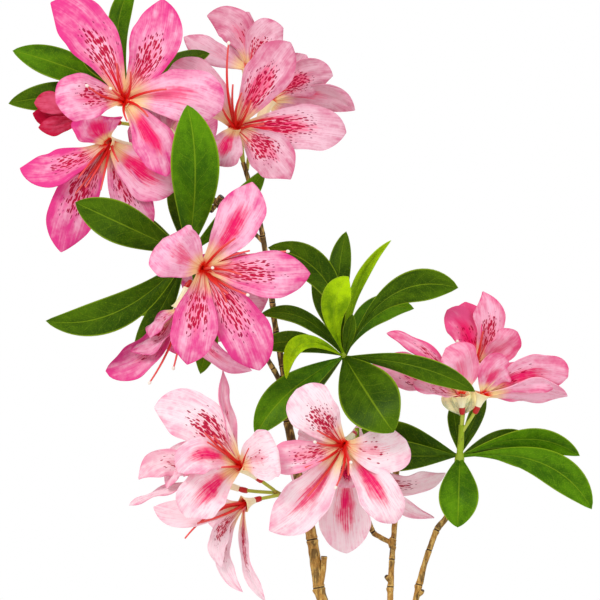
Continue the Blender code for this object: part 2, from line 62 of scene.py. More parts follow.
# The blade rule: where the swung middle lies, how far a blade starts from its heart, how it cups, how
# its outline opens and closes, and how large a whorl's hub is and where its leaves spring from it.
MIDDLE_SHARE = 0.55
CUP_TURN = 1.4
PETAL_ROOT = 0.0012
LEAF_ROOT = 0.0005
PETAL_CUP = 0.35
LEAF_CUP = -0.15
PETAL_WIDEST = 0.60
PETAL_CLAW, CLAW_OPENING = 0.20, 1.4
TIP_POWER, TIP_BLUNTING, TIP_FALL = 1.6, 1.4, 0.4
LEAF_STALK, LEAF_STALK_END, LEAF_FULLNESS = 0.09, 8, 0.8
LEAST_WIDTH = 0.02
WHORL_HEIGHT = 0.007
WHORL_HEART = 0.65
WHORL_AT_FORK = 1.5

# How fine the meshes are: columns and rows of a blade, steps along a tube and its sides.
PETAL_GRID = (16, 30)
LEAF_GRID = (12, 28)
LIMB_STEP = 0.0008
LIMB_SIDES = 28
STALK_STEP = 0.0010
STALK_SIDES = 14
OVARY_STEP = 0.0005
THROAT_STEP = 0.0006
THROAT_SIDES = 30
STAMEN_SIDES = 8
STAMEN_RINGS = 16
ANTHER_STEP = 0.0004
ANTHER_SIDES = 10
FLOOR_SIDES = 96

# A petal's surface: spans of its random waves and tip curl, the middle groove, the nicks in its margins
# and its broad softness.
SEED_SPAN = 40.0
WAVE_PHASE = 6.28
PETAL_WAVES = (1.6, 2.4)
PETAL_SOFTNESS = 1.3
PETAL_GROOVE = 0.0005
PETAL_GROOVE_WIDTH = 0.13
TIP_CURL = (0.0003, 0.0012)
TIP_START = 0.78
NICK_DEPTH = 0.04
NICK_WAVES = 2.7
NICK_NOISE_WAVES = 7.0
NICK_NOISE = 1.5
NICK_PHASE = 1.7
SOFT_WAVES, SOFT_ACROSS = 3.0, 1.2
RUFFLE_EDGE, RUFFLE_SPREAD = 2.5, 0.6

# A leaf's surface: margin waves, the keel towards them, the midrib's groove and broad swells.
LEAF_WAVES = (1.2, 2.0)
LEAF_WAVE = 0.0005
LEAF_KEEL = 0.12
LEAF_GROOVE = 0.00035
LEAF_GROOVE_WIDTH = 0.09
LEAF_SWELL = 0.0004
LEAF_RIGHT_PHASE = 2.3

# Bark: a ring scar's swelling, groove and stain with their widths, the leaf base beside it, and the ridges
# and lumps between.
SCAR_SWELL, SCAR_SWELL_WIDTH = 0.15, 0.0015
SCAR_GROOVE, SCAR_GROOVE_WIDTH = 0.17, 0.0003
SCAR_STAIN_WIDTH = 0.00045
LEAF_BASE, LEAF_BASE_DROP, LEAF_BASE_WIDTH, LEAF_BASE_TURN = 0.42, 0.0010, 0.0014, 2.4
RIDGES_ROUND, RIDGES_PER_METRE = 1.6, 260.0
RIDGE_LEAST, RIDGE_PER_RADIUS = 0.6, 200.0
LUMP_COARSENESS, LUMP_HEIGHT, LUMP_SEED = (0.6, 0.6, 0.35), 1.4, 9.0
SEED_PER_RING = 0.37

# Turned parts, as (place along the axis, radius): shares for a whorl's hub, share and metres for a throat,
# millimetres for ovary and anther. The rim ends the throat. Then the stalks, the stamens' start, taper and
# swing, and what the materials and meshes share.
HUB = ((-0.1, 0.9), (0.0, 1.0), (0.4, 1.05), (0.75, 0.9), (1.0, 0.45))
THROAT = ((0.05, 0.0013), (0.35, 0.0016), (0.7, 0.0024), (0.9, 0.0032))
THROAT_RIM, THROAT_RIM_RADIUS = 0.0004, 0.0042
THROAT_WALL, THROAT_FLUTES, FLUTE_DEPTH = 0.0004, 5.0, 0.08
OVARY = ((-3.8, 0.85), (-3.2, 1.30), (-1.6, 1.50), (0.0, 1.40), (1.4, 1.0))
ANTHER = ((-0.7, 0.35), (-0.3, 0.75), (0.4, 0.85), (1.0, 0.6), (1.3, 0.2))
STALK_RADIUS = 0.0009
STAMEN_DEPTH, STAMEN_SPACING, STAMEN_TAPER = 0.002, 0.0006, 0.5
STAMEN_SWING = (0.42, 0.62, 2.0)
BUMP_STRENGTH = 0.6
BLADE_BUMP, BARK_BUMP, GRAIN_BUMP = 0.0003, 0.0005, 0.0002
GRAIN_SCALE = 1400.0
SMOOTH_BELOW = math.radians(60.0)
SEAM_WIDTH = 1e-6

# The stage: (name, place, power, width) of each light, and the camera.
LIGHTS = (("key", (-1.1, -1.5, 1.5), 21.0, 0.8), ("fill", (1.4, -1.4, 0.7), 8.0, 1.4),
          ("rim", (0.5, 1.5, 1.3), 10.0, 1.0))
LIGHT_AIM = (-0.04, 0.0, 0.23)
WHITE = (1.0, 1.0, 1.0)
SURROUND = 0.72
CAMERA_PLACE = (-0.036, -8.0, 0.230)
CAMERA_LENS = 960.0
CAMERA_SENSOR = 36.0
CAMERA_REACH = 50.0
FLOOR_RADIUS = 4.0

# One blade: clock is the angle in the front view (degrees, 0 to the right, 90 up), reach the length seen
# there, forward how far the tip comes to the front, bow the sideways and arch the frontward swing of the
# middle, roll the turn about the midline (degrees). All but the angles are shares of the full size.
# A petal adds the strength of its speckles, of its blotch and of the flush that spreads from its margins.
# Blunt rounds a petal's tip off. A leaf adds its age, and full moves its widest place towards its tip.
# A stamen has an anther or none. The rows further down give every share in hundredths.
Petal = namedtuple("Petal", "clock reach forward width bow arch roll speckle blotch flush blunt",
                   defaults=(0.3,))
Leaf = namedtuple("Leaf", "clock reach forward width bow arch roll age full", defaults=(1.25,))
Stamen = namedtuple("Stamen", "clock reach forward bow anther")
Bloom = namedtuple("Bloom", "kind stalk petals stamens")
WHOLE_FIELDS = ("clock", "roll", "age", "anther")

MATURE, FRESH, YOUNG, BRACT = 0, 1, 2, 3

# Woody limbs: (x, y, z, radius) from the lower end to the tip, then the heights of their ring scars (mm).
LIMB_ROWS = {
    "stem_main": ([(0, 0, 0, 7.8), (0, 0, 3, 6.8), (-1, 0, 12, 5), (-4, 0, 28, 3.8), (-13, 0, 52, 3.2),
        (-25, 0, 80, 2.8), (-30, 1, 111, 2.6), (-37, 2, 142.5, 2.4), (-44.5, 4, 182.5, 2.1)],
        (21, 41, 64, 86, 110, 131, 152, 169)),
    "stem_middle": ([(0, 1, 11, 2.4), (3, 3, 28, 2.2), (7.5, 3, 55, 1.9), (9, 2, 80, 1.6), (10, 6, 100, 1.5),
        (12, 20, 142.5, 1.4), (3, 19, 170, 1.4), (-8.5, 11, 189, 1.4), (-12.5, 3, 198.5, 1.5)],
        (33, 50, 69, 86.5, 99.5, 107.5, 126, 144, 163, 180)),
    "stem_right": ([(0, -1, 8, 2.2), (7, -4, 18, 2), (15.5, -3, 52, 1.7), (21.8, -2, 80, 1.6),
        (26.9, -2, 100, 1.5), (32.3, -2, 115, 1.5), (37.5, -2, 122, 1.4), (42.5, 0, 136, 1.4),
        (43.8, 0, 151, 1.6), (45, -1, 167.5, 1.5)],
        (28, 46, 70, 87.5, 105, 115, 127)),
    "bough_centre": ([(-44.5, 4, 182.5, 1.7), (-44.5, 4.5, 195, 1.6), (-48, 5, 215, 1.5),
        (-53.5, 6, 255, 1.3), (-57.5, 6, 275, 1.2), (-64.5, 2, 299, 1.1)],
        (197, 214, 229, 246, 262, 276, 289)),
    "bough_left": ([(-44.5, 4, 186, 1.4), (-52, 3, 200, 1.4), (-66, 1, 220, 1.4), (-82.5, -1, 239.5, 1.4),
        (-89.5, -3, 249, 1.4)],
        (196, 209, 224, 237)),
    "bough_upper_left": ([(-54, 6, 258.5, 1.1), (-66, 7, 270, 1.1), (-78, 7, 278.5, 1.3),
        (-91, 6, 292.5, 1.1), (-111, 4, 312.5, 1.2), (-119.5, 3, 329.5, 1.3)],
        (266, 277.5, 280, 294, 308, 320)),
    "twig_low": ([(-36.5, 2, 140, 1.1), (-42.5, 1, 132.5, 1), (-49.5, -1, 134.5, 1.1)],
        ()),
    "twig_pale": ([(10, 9, 108.5, 1.3), (4, 9, 111.5, 1.4), (-0.5, 9, 116, 1.3), (-5.5, 9, 135, 1.1),
        (-7.5, 8, 166, 1.1)],
        (114, 128, 146)),
}

# The stumps of cut side branches and the knots left by them (mm).
STUMP_ROWS = {
    "stem_main": [
        [(-26.5, -1, 84, 1.4), (-24.6, -1, 94, 1.5), (-24, -1, 102, 1.4)]],
    "stem_middle": [
        [(9.5, 3, 88.5, 1), (8, 1, 90.5, 1.1), (6.8, 0, 92, 0.9)],
        [(10, 8, 106, 1.2), (9.8, 7.5, 108.5, 1.6), (10.4, 8, 111, 1.2)]],
    "stem_right": [
        [(22.5, -2, 82, 1), (24.5, -4, 83.5, 1.1), (25.4, -5, 85, 0.8)]],
    "bough_upper_left": [
        [(-77.5, 6.5, 278, 1.3), (-76.5, 4, 280, 1.7), (-75.2, 3, 282, 1.4)],
        [(-78.5, 6, 277, 1.2), (-80, 4, 275.5, 1.4), (-80.8, 3, 274.2, 1)]],
}

# The heights between which a limb's bark turns into green skin (metres).
GREEN = {"stem_right": (0.142, 0.154), "twig_pale": (0.125, 0.140), "twig_low": (0.1325, 0.136)}
NEVER_GREEN = (1.0, 2.0)

# Leaf whorls: the limb that bears each, the route point where it sits (-1 at the tip), and its leaves.
WHORL_ROWS = {
    "leaves_top_left": ("bough_upper_left", -1, [
        (160, 124, -6, 102, -3, 3, 15, FRESH), (-175, 121, -2, 94, -3, -6, 20, MATURE),
        (143, 60, 8, 50, 0, 0, 30, MATURE), (119, 127, -12, 85, 0, 0, 20, FRESH),
        (85, 117, -16, 72, 17, -5, 20, FRESH), (26, 90, 4, 75, 4, -4, -25, MATURE),
        (124, 80, -76, 95, 0, -10, 0, MATURE), (66, 78, -72, 90, 0, -10, 0, MATURE),
        (-178, 70, -74, 85, 0, -10, 0, FRESH), (-5, 60, -70, 85, 0, -10, 0, MATURE)]),
    "leaves_left": ("bough_left", -1, [
        (90, 149, 72, 152, -8, 22, 0, FRESH, 115), (155, 123, 66, 129, 0, 18, 0, MATURE),
        (-155, 156, 30, 112, 22, 6, 10, MATURE), (-119, 112, -42, 76, 3, -4, 20, MATURE),
        (48, 116, 10, 74, -4, 2, 25, FRESH), (-84, 120, -35, 80, 10, -10, 0, FRESH, 160),
        (152, 85, -72, 95, 0, -10, 0, MATURE), (96, 90, -66, 95, 0, -10, 0, MATURE),
        (-150, 90, -66, 90, 20, -10, 0, FRESH)]),
    "leaves_centre": ("stem_middle", -1, [
        (125, 133, -15, 102, -28, 0, 10, MATURE, 180), (89, 125, -28, 72, 7, -5, 15, MATURE, 170),
        (87, 80, 28, 92, 13, 10, 10, YOUNG, 180), (68, 125, 0, 42, 14, 0, 35, YOUNG),
        (-159, 62, 34, 55, -28, 12, 25, YOUNG), (154, 94, 5, 60, -16, 3, 30, MATURE),
        (175, 87, 18, 70, -10, 4, 15, MATURE), (-138, 119, 24, 112, -10, 6, 10, FRESH),
        (-57, 90, 74, 186, -1, 18, 0, MATURE, 100), (-15, 135, 50, 78, 9, 26, 20, MATURE),
        (31, 133, 12, 104, 28, 4, 10, MATURE, 210), (79, 43, 10, 40, 0, 0, 0, MATURE),
        (112, 85, -76, 90, -6, -10, 0, MATURE), (34, 85, -72, 86, 20, -10, 0, FRESH),
        (-62, 74, -70, 95, 0, -10, 0, MATURE), (-143, 80, -68, 85, 0, -10, 0, MATURE)]),
    "leaves_right": ("stem_right", -2, [
        (165, 102, -10, 112, 0, 0, 0, MATURE), (179, 108, 6, 100, 1, 6, 10, MATURE),
        (-92, 71, 28, 125, 0, 14, 0, FRESH, 105), (-22, 142, 16, 106, 24, 6, 5, FRESH, 160),
        (0, 120, -6, 80, 17, 2, 25, FRESH, 160), (98, 53, -14, 50, 0, -4, 20, MATURE),
        (68, 68, -22, 52, 0, -6, 20, MATURE), (171, 75, -74, 95, 0, -10, 0, MATURE),
        (-93, 52, -75, 90, 0, -10, 0, MATURE), (-13, 85, -72, 84, 16, -10, 0, FRESH),
        (5, 80, -50, 80, 10, -8, 0, MATURE)]),
}

# The bracts below the right blooms: the whorl whose piece they join, their heart and their blades.
BRACT_WHORL = "leaves_right"
BRACT_HEART = (0.0446, 0.0000, 0.1718)
BRACT_ROWS = [(112, 29, 4, 56, 4, 2, 0, BRACT, 150), (90, 30, 8, 64, 0, 3, 0, BRACT, 150),
    (74, 27, 4, 54, -4, 2, 0, BRACT, 150), (100, 28, -8, 60, 0, 0, 0, BRACT, 150)]

# Blooms: the petal colour, the stalk (mm, from the limb, through the ovary, to the throat), the petals
# and the stamens.
BLOOM_ROWS = {
    "bloom_top_left": ("petal_vivid", [(-116, 3, 319.5), (-119, -5, 324), (-124, -17, 330)], [
        (127, 121, 8, 109, -13, 10, 0, 170, 0, 95), (69, 108, 14, 104, -9, 12, 0, 80, 30, 72),
        (-6, 99, 24, 115, 10, 12, 0, 0, 85, 35, 80), (-61, 88, 30, 86, 6, 4, 10, 0, 120, 65),
        (-177, 67, 52, 100, -4, 12, 10, 80, 60, 50, 80)], [
        (100, 36, 30, 2, 0), (75, 28, 32, -3, 0), (13, 44, 30, 2, 0), (-35, 30, 34, 3, 0),
        (-80, 22, 36, -2, 0), (160, 38, 44, 4, 1), (140, 16, 50, 0, 1)]),
    "bud_top_left": ("petal_bud", [(-115, 4, 317), (-129, -1, 319), (-143, -4, 321.5)], [
        (165, 54, 2, 50, -5, 6, 20, 0, 0, 35, 50), (-167, 49, 16, 40, 2, 8, -10, 0, 0, 75, 20),
        (176, 53, -6, 50, 2, -4, 0, 0, 0, 130)], []),
    "bloom_left": ("petal_vivid", [(-108, 4, 309.5), (-120, -4, 307), (-132, -13, 308.5)], [
        (111, 31, 12, 108, 3, 6, 0, 0, 150, 80, 70), (-164, 91, 12, 85, 11, 8, 30, 70, 20, 95),
        (-113, 119, 4, 100, -6, 8, 0, 160, 40, 95), (-65, 100, 2, 82, -3, 6, 0, 100, 50, 50),
        (-32, 83, 10, 110, -5, 4, 0, 0, 140, 30)], [
        (-122, 60, 22, 2, 0), (-129, 46, 28, -1, 0), (-116, 50, 26, 2, 0), (-150, 82, 16, 6, 0),
        (-98, 48, 28, 1, 0), (-60, 22, 34, 0, 0)]),
    "bloom_top": ("petal_dusty", [(-64.5, 2, 299), (-66.5, -1, 305.5), (-68, -8, 316.5)], [
        (57, 101, 14, 96, 2, 12, 0, 170, 80, 65, 50), (-3, 111, 10, 96, 3, 10, 0, 220, 80, 20, 60),
        (-44, 76, 26, 96, 4, 8, 10, 130, 60, 45, 0), (-115, 43, 36, 80, -1, 8, 15, 0, 130, 40, 80),
        (141, 88, 8, 104, -7, 8, 0, 0, 20, 20, 90)], [
        (123, 30, 30, 2, 0), (94, 42, 28, 2, 0), (95, 83, 26, 5, 1), (60, 30, 30, -2, 0), (5, 28, 30, 0, 0),
        (80, 34, 34, 3, 0)]),
    "bloom_top_rear": ("petal_dusty", [(-64.2, 3.5, 297.8), (-65.5, 13, 320), (-61, 15, 345)], [
        (153, 74, 0, 62, 2, -4, 25, 0, 20, 35), (128, 70, -14, 74, -15, -4, 0, 20, 60, 60),
        (91, 59, -24, 72, 8, -4, 0, 50, 140, 50), (52, 54, 4, 86, 7, 2, 0, 140, 30, 30)], []),
    "bloom_top_right": ("petal_dusty", [(-62.5, 3, 295), (-60, 11, 310), (-52, 13, 330)], [
        (20, 69, 6, 85, 9, 4, 25, 180, 90, 40), (-7, 87, -6, 70, 11, -2, 35, 0, 80, 30),
        (50, 60, -30, 80, 0, -6, 0, 50, 0, 40), (-35, 50, -36, 80, 0, -6, 0, 0, 70, 40)], []),
    "bloom_centre": ("petal_vivid", [(-80, -1, 236.5), (-81.5, -10, 241), (-84.5, -25, 246)], [
        (60, 99, 20, 98, -7, 12, 0, 0, 110, 35), (143, 50, 42, 122, 3, 22, 0, 0, 75, 30, 90),
        (-3, 108, 16, 98, -3, 12, 0, 130, 30, 62), (-61, 117, 6, 106, 6, 12, 0, 180, 20, 78, 50),
        (-99, 98, 16, 98, 1, 12, 0, 90, 50, 72, 20)], [
        (0, 10, 50, 0, 1), (11, 86, 22, 4, 1), (-31, 52, 26, -3, 1), (42, 44, 26, 2, 0), (20, 50, 24, 2, 0),
        (-10, 40, 30, 2, 0), (-55, 42, 28, 3, 0), (-45, 36, 34, -2, 0)]),
    "bloom_centre_rear": ("petal_vivid", [(-82, -1, 238.5), (-92.5, -7, 237), (-96, -7, 226)], [
        (-137, 42, 16, 60, -3, 0, 65, 30, 20, 50), (-140, 64, 4, 70, 10, 0, 60, 40, 30, 50),
        (-140, 97, -6, 82, 13, 0, 35, 80, 60, 75, 80), (-42, 96, -4, 70, -10, 0, 55, 20, 90, 40),
        (-95, 46, -18, 80, 0, -4, 0, 50, 0, 50)], [
        (-96, 60, 10, 3, 1), (-112, 80, 8, 5, 1)]),
    "bloom_low_centre": ("petal_pale", [(-7.5, 8, 164), (-9.5, 0, 162.5), (-14.5, -15, 157.5)], [
        (130, 73, 28, 102, 0, 10, 0, 120, 30, 10, 100), (-171, 80, 22, 76, 4, 8, 20, 80, 60, 85, 20),
        (5, 63, 20, 102, -8, 8, 0, 30, 60, 10, 100), (-131, 113, 8, 100, 8, 10, 0, 0, 100, 30),
        (-56, 94, 20, 86, 3, 10, 0, 0, 150, 15, 70)], [
        (173, 28, 34, 2, 1), (-65, 18, 44, 0, 1), (-100, 42, 30, 4, 1), (-150, 44, 28, 3, 0),
        (150, 30, 30, 0, 0), (-125, 62, 20, 2, 0), (-80, 30, 34, 2, 0)]),
    "bloom_low_rear": ("petal_pale", [(-6.8, 9, 160), (-9.5, 6, 156), (-12.5, 1, 150)], [
        (-90, 93, 2, 106, -2, -2, 0, 0, 120, 0, 50), (-94, 28, 24, 66, 0, 6, 0, 240, 120, 60, 100),
        (-8, 100, -16, 70, -16, -2, 50, 140, 0, 0), (-34, 105, -4, 60, -7, 0, 60, 0, 30, 35),
        (-70, 58, -14, 90, 0, -4, 0, 30, 0, 20)], []),
    "bloom_right_left": ("petal_mid", [(44.8, -1, 166.5), (45, -4, 176.2), (44.5, -6, 182.2)], [
        (139, 98, 10, 62, -9, 4, 60, 80, 60, 75, 60), (158, 96, -18, 84, -1, -2, 30, 130, 60, 40),
        (162, 50, 10, 65, 2, 4, 60, 40, 0, 30), (108, 50, 6, 90, -9, 6, 25, 0, 60, 45, 80)], []),
    # bloom_right_top: the rear petal at clock 100 has a blotch of 250 and a full flush, which spread deep
    # crimson over the whole petal. This is partly its real blotch and partly painted shade in the gap between
    # the petals in front.
    "bloom_right_top": ("petal_mid", [(44.8, 0, 165), (47.5, 7, 185), (52.5, 11, 197.5)], [
        (118, 63, 6, 78, -6, 4, 30, 60, 140, 115, 70), (85, 74, -6, 78, -9, 0, 30, 80, 40, 30, 0),
        (38, 53, 8, 72, -2, 4, 35, 0, 60, 60, 70), (100, 64, -34, 90, 1, -6, 0, 140, 250, 100)], [
        (130, 30, 20, 2, 1), (80, 34, 22, 0, 0)]),
    "bloom_right": ("petal_mid", [(44.8, -1, 163.5), (52.8, -5, 176.5), (55, -6, 182.8)], [
        (11, 87, 6, 92, 11, 4, 30, 20, 120, 40, 100), (-2, 85, -10, 75, 7, 0, 50, 0, 60, 0),
        (50, 42, 18, 80, 5, 6, 30, 0, 100, 60, 60), (20, 55, -30, 85, 0, -6, 0, 30, 0, 50)], []),
    "bloom_low_left": ("petal_pale", [(-49, -1, 135), (-57.5, -6, 141.2), (-66, -13, 147.5)], [
        (146, 103, 12, 106, -14, 8, 0, 150, 20, 25, 50), (99, 96, 4, 50, 5, 6, 60, 10, 40, 95, 0),
        (21, 42, 50, 106, 1, 16, 0, 10, 50, 5, 100), (-136, 75, 30, 98, -5, 10, 0, 0, 135, 15, 50),
        (-174, 62, 42, 90, -14, 10, 35, 10, 145, 45, 60)], [
        (137, 48, 30, 1, 0), (62, 20, 34, 0, 0), (131, 40, 30, 1, 0), (-175, 18, 40, 0, 0),
        (144, 40, 32, -1, 0)]),
    "bloom_far_left": ("petal_pale", [(-47, 1, 133.5), (-65.5, 8, 135.2), (-83.5, 10, 141)], [
        (-179, 67, 6, 66, -16, 2, 25, 30, 30, 45, 0), (-165, 40, 10, 60, -16, 2, 50, 0, 50, 60),
        (-161, 81, 0, 50, -1, 0, 70, 0, 10, 25), (140, 46, -40, 85, 0, -6, 0, 40, 0, 30)], []),
    "bloom_hanging": ("petal_pale", [(-46.5, -1, 132.5), (-58.5, -3, 130), (-64, -6, 128)], [
        (-110, 67, 10, 46, -12, 4, 30, 90, 0, 5), (-91, 88, 0, 36, -20, 2, 20, 40, 20, 15, 40),
        (-78, 100, -6, 36, -9, 0, 45, 160, 40, 10), (-179, 90, 6, 75, 9, 4, 35, 0, 10, 10),
        (-158, 42, -40, 85, 0, -6, 0, 30, 0, 20)], [
        (-150, 68, 22, -8, 0), (-167, 58, 26, -3, 0), (-158, 50, 28, 2, 0)]),
    "bloom_back_top": ("petal_vivid", [(-96, 6, 298), (-99, 14, 305), (-102, 26, 312)], [
        (100, 56, -60, 100, 0, -12, 0, 100, 0, 60), (28, 54, -60, 100, 0, -12, 0, 70, 20, 50),
        (-44, 46, -66, 100, 0, -12, 0, 0, 90, 30), (-116, 50, -60, 100, 0, -12, 0, 0, 90, 30),
        (172, 42, -60, 100, 0, -12, 0, 70, 20, 60)], [
        (80, 30, -44, 2, 1), (20, 24, -50, 2, 1), (-40, 30, -46, 0, 1), (-120, 22, -52, 0, 1),
        (160, 30, -50, 2, 1)]),
    "bloom_back_centre": ("petal_vivid", [(-68, 1, 222.5), (-70, 10, 227), (-74, 24, 233)], [
        (62, 46, -60, 100, 0, -12, 0, 80, 0, 50), (-6, 44, -60, 100, 0, -12, 0, 0, 90, 30),
        (-62, 62, -54, 100, 0, -12, 0, 0, 90, 40), (-104, 50, -64, 100, 0, -12, 0, 60, 20, 50),
        (140, 50, -62, 100, 0, -12, 0, 100, 0, 60)], [
        (60, 28, -46, 2, 1), (0, 26, -50, 2, 1), (-60, 30, -44, 0, 1), (-110, 24, -52, 0, 1),
        (150, 30, -48, 2, 1)]),
    "bloom_back_low": ("petal_pale", [(-7, 9, 160), (-11, 18, 160), (-17, 30, 157)], [
        (128, 46, -60, 100, 0, -12, 0, 100, 0, 20), (186, 42, -60, 100, 0, -12, 0, 0, 90, 20),
        (-130, 62, -54, 100, 0, -12, 0, 0, 100, 20), (-62, 58, -56, 100, 0, -12, 0, 30, 70, 20),
        (8, 52, -60, 100, 0, -12, 0, 80, 0, 25)], [
        (120, 28, -46, 2, 1), (180, 26, -50, 2, 1), (-130, 30, -44, 0, 1), (-60, 24, -52, 0, 1),
        (10, 30, -48, 2, 1)]),
}

# Blooms whose patterned side looks to the back.
BACK_FACING = ("bloom_back_top", "bloom_back_centre", "bloom_back_low")


def metres(rows):
    """The rows, to any depth, with their millimetres turned into metres."""
    if isinstance(rows, (int, float)):
        return rows / 1000.0
    return type(rows)(metres(row) for row in rows)


def named_rows(kind, rows):
    """The rows as named tuples: angles and choices as they are, the rest from hundredths to shares."""
    return [kind(*(value if field in WHOLE_FIELDS else value / 100.0
                   for field, value in zip(kind._fields, row))) for row in rows]


LIMBS = {name: metres(rows) for name, rows in LIMB_ROWS.items()}
STUMPS = {name: metres(rows) for name, rows in STUMP_ROWS.items()}
WHORLS = {name: (limb, place, named_rows(Leaf, rows)) for name, (limb, place, rows) in WHORL_ROWS.items()}
BRACTS = named_rows(Leaf, BRACT_ROWS)
BLOOMS = {name: Bloom(kind, metres(stalk), named_rows(Petal, petals), named_rows(Stamen, stamens))
          for name, (kind, stalk, petals, stamens) in BLOOM_ROWS.items()}


def paint(red, green, blue):
    """Linear colour from the 0 to 255 screen values of a paint chart."""
    return tuple((c / 255.0 / 12.92) if c <= 10 else ((c / 255.0 + 0.055) / 1.055) ** 2.4
                 for c in (red, green, blue))


def length_property(name, description, default):
    return bpy.props.FloatProperty(name=name, description=description, default=default, min=0.0,
                                   precision=5, unit="LENGTH")


def colour_property(name, description, default):
    return bpy.props.FloatVectorProperty(name=name, description=description, default=default, min=0.0,
                                         max=1.0, subtype="COLOR")


class AzaleaSizes(bpy.types.PropertyGroup):
    """Sizes of the leaves, petals and stamens."""
    petal_length: length_property("Petal length", "Full length that petal shares are taken of", 0.050)
    petal_width: length_property("Petal width", "Full width that petal shares are taken of", 0.024)
    petal_thickness: length_property("Petal thickness", "Thickness of a petal", 0.00045)
    petal_ruffle: length_property("Petal ruffle", "Height of the waves along a petal's margins", 0.0011)
    leaf_length: length_property("Leaf length", "Full length that leaf shares are taken of", 0.050)
    leaf_width: length_property("Leaf width", "Full width that leaf shares are taken of", 0.016)
    leaf_thickness: length_property("Leaf thickness", "Thickness of a leaf", 0.00055)
    filament_radius: length_property("Filament radius", "Radius of a stamen's filament at its foot", 0.00086)
    bark_relief: length_property("Bark relief", "Height of the bark's ridges", 0.00024)


class AzaleaColours(bpy.types.PropertyGroup):
    """Colours of the plant and the stage."""
    vivid_pale: colour_property("Vivid, middle", "Middle of a vivid petal", paint(249, 188, 212))
    vivid_deep: colour_property("Vivid, margin", "Margin of a vivid petal", paint(224, 60, 136))
    dusty_pale: colour_property("Dusty, middle", "Middle of a dusty petal", paint(236, 188, 204))
    dusty_deep: colour_property("Dusty, margin", "Margin of a dusty petal", paint(208, 100, 136))
    pale_pale: colour_property("Blush, middle", "Middle of a blush petal", paint(252, 224, 231))
    pale_deep: colour_property("Blush, margin", "Margin of a blush petal", paint(240, 144, 176))
    mid_pale: colour_property("Rose, middle", "Middle of a rose petal", paint(250, 187, 210))
    mid_deep: colour_property("Rose, margin", "Margin of a rose petal", paint(232, 82, 136))
    bud_pale: colour_property("Bud, middle", "Middle of a bud's petal", paint(216, 84, 116))
    bud_deep: colour_property("Bud, margin", "Margin of a bud's petal", paint(188, 14, 56))
    blotch: colour_property("Blotch", "Flare on a petal's middle", paint(234, 22, 100))
    speckle: colour_property("Speckle", "Dashes on a petal", paint(186, 0, 56))
    dot: colour_property("Dot", "Outermost spots on a petal", paint(140, 6, 66))
    streak: colour_property("Streak", "Lines that run out of the throat", paint(220, 30, 52))
    claw: colour_property("Claw", "Foot of a petal", paint(254, 226, 158))
    throat_outer: colour_property("Throat, outside", "Outside of the throat", paint(252, 246, 206))
    throat: colour_property("Throat", "Inside of the throat", paint(244, 34, 14))
    filament: colour_property("Filament", "Foot of a filament", paint(228, 16, 12))
    filament_end: colour_property("Filament end", "Tip of a filament", paint(236, 88, 84))
    anther: colour_property("Anther", "Anthers", paint(250, 238, 226))
    stalk: colour_property("Flower stalk", "Flower stalks", paint(184, 198, 66))
    ovary: colour_property("Ovary", "Ovaries", paint(196, 14, 10))
    leaf_mature: colour_property("Mature leaf", "Mature leaves", paint(58, 90, 6))
    leaf_fresh: colour_property("Fresh leaf", "Fresh leaves", paint(70, 116, 8))
    leaf_young: colour_property("Young leaf", "Youngest leaves", paint(136, 178, 6))
    leaf_vein: colour_property("Leaf vein", "Midribs and veins", paint(158, 186, 34))
    bract: colour_property("Bract", "Pale bracts below the right blooms", paint(252, 252, 206))
    stem_green: colour_property("Green stem", "Skin of the youngest wood", paint(146, 172, 26))
    bark_brown: colour_property("Upper bark", "Bark of the boughs", paint(98, 76, 36))
    bark_tan: colour_property("Lower bark", "Bark of the stems near the ground", paint(176, 128, 56))
    bark_pale: colour_property("Pale bark", "Pale streaks in the bark", paint(216, 180, 100))
    bark_dark: colour_property("Bark scars", "Rings and cracks in the bark", paint(44, 26, 12))
    floor: colour_property("Floor", "Studio floor", (0.80, 0.80, 0.79))


def sizes():
    return bpy.context.scene.azalea_sizes


def colours():
    return bpy.context.scene.azalea_colours


# ---------------------------------------------------------------- shaping

def unit(vectors):
    return vectors / np.linalg.norm(vectors, axis=-1, keepdims=True)


def pick(*objects):
    bpy.ops.object.select_all(action="DESELECT")
    for piece in objects:
        piece.select_set(True)
    bpy.context.view_layer.objects.active = objects[0]


def read_vertices(piece):
    flat = np.empty(len(piece.data.vertices) * 3)
    piece.data.vertices.foreach_get("co", flat)
    return flat.reshape(-1, 3)


def place_vertices(piece, positions):
    piece.data.vertices.foreach_set("co", positions.astype(np.float32).ravel())
    piece.data.update()


def new_grid(name, columns, rows):
    """A flat grid with its own UV map, and the shares of every vertex across (-1 to 1) and along (0 to 1)."""
    bpy.ops.object.select_all(action="DESELECT")
    bpy.ops.mesh.primitive_grid_add(x_subdivisions=columns, y_subdivisions=rows, size=2.0)
    piece = bpy.context.active_object
    piece.name = name
    flat = read_vertices(piece)
    return piece, flat[:, 0], (flat[:, 1] + 1.0) / 2.0


def mark(piece, name, values):
    """Give every vertex its value of a named attribute."""
    layer = piece.data.attributes.new(name, "FLOAT", "POINT")
    layer.data.foreach_set("value", np.broadcast_to(values, len(piece.data.vertices)).astype(np.float32))


def thicken(piece, thickness):
    """Turn a sheet into a thin closed shell; returns which vertices are on its rear face."""
    count = len(piece.data.vertices)
    pick(piece)
    shell = piece.modifiers.new("Thickness", "SOLIDIFY")
    shell.thickness = thickness
    shell.offset = 0.0
    bpy.ops.object.modifier_apply(modifier=shell.name)
    return (np.arange(len(piece.data.vertices)) >= count).astype(np.float32)


def dress(piece, material):
    piece.data.materials.clear()
    piece.data.materials.append(material)


def finish_piece(name, parts, nodes, slot):
    """Join the parts into one smooth piece that replaces the nodes."""
    pick(*parts)
    if len(parts) > 1:
        bpy.ops.object.join()
    piece = bpy.context.active_object
    piece.name = name
    piece.data.name = name
    bpy.ops.object.shade_smooth_by_angle(angle=SMOOTH_BELOW)
    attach(piece, BODY)
    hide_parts(*nodes)


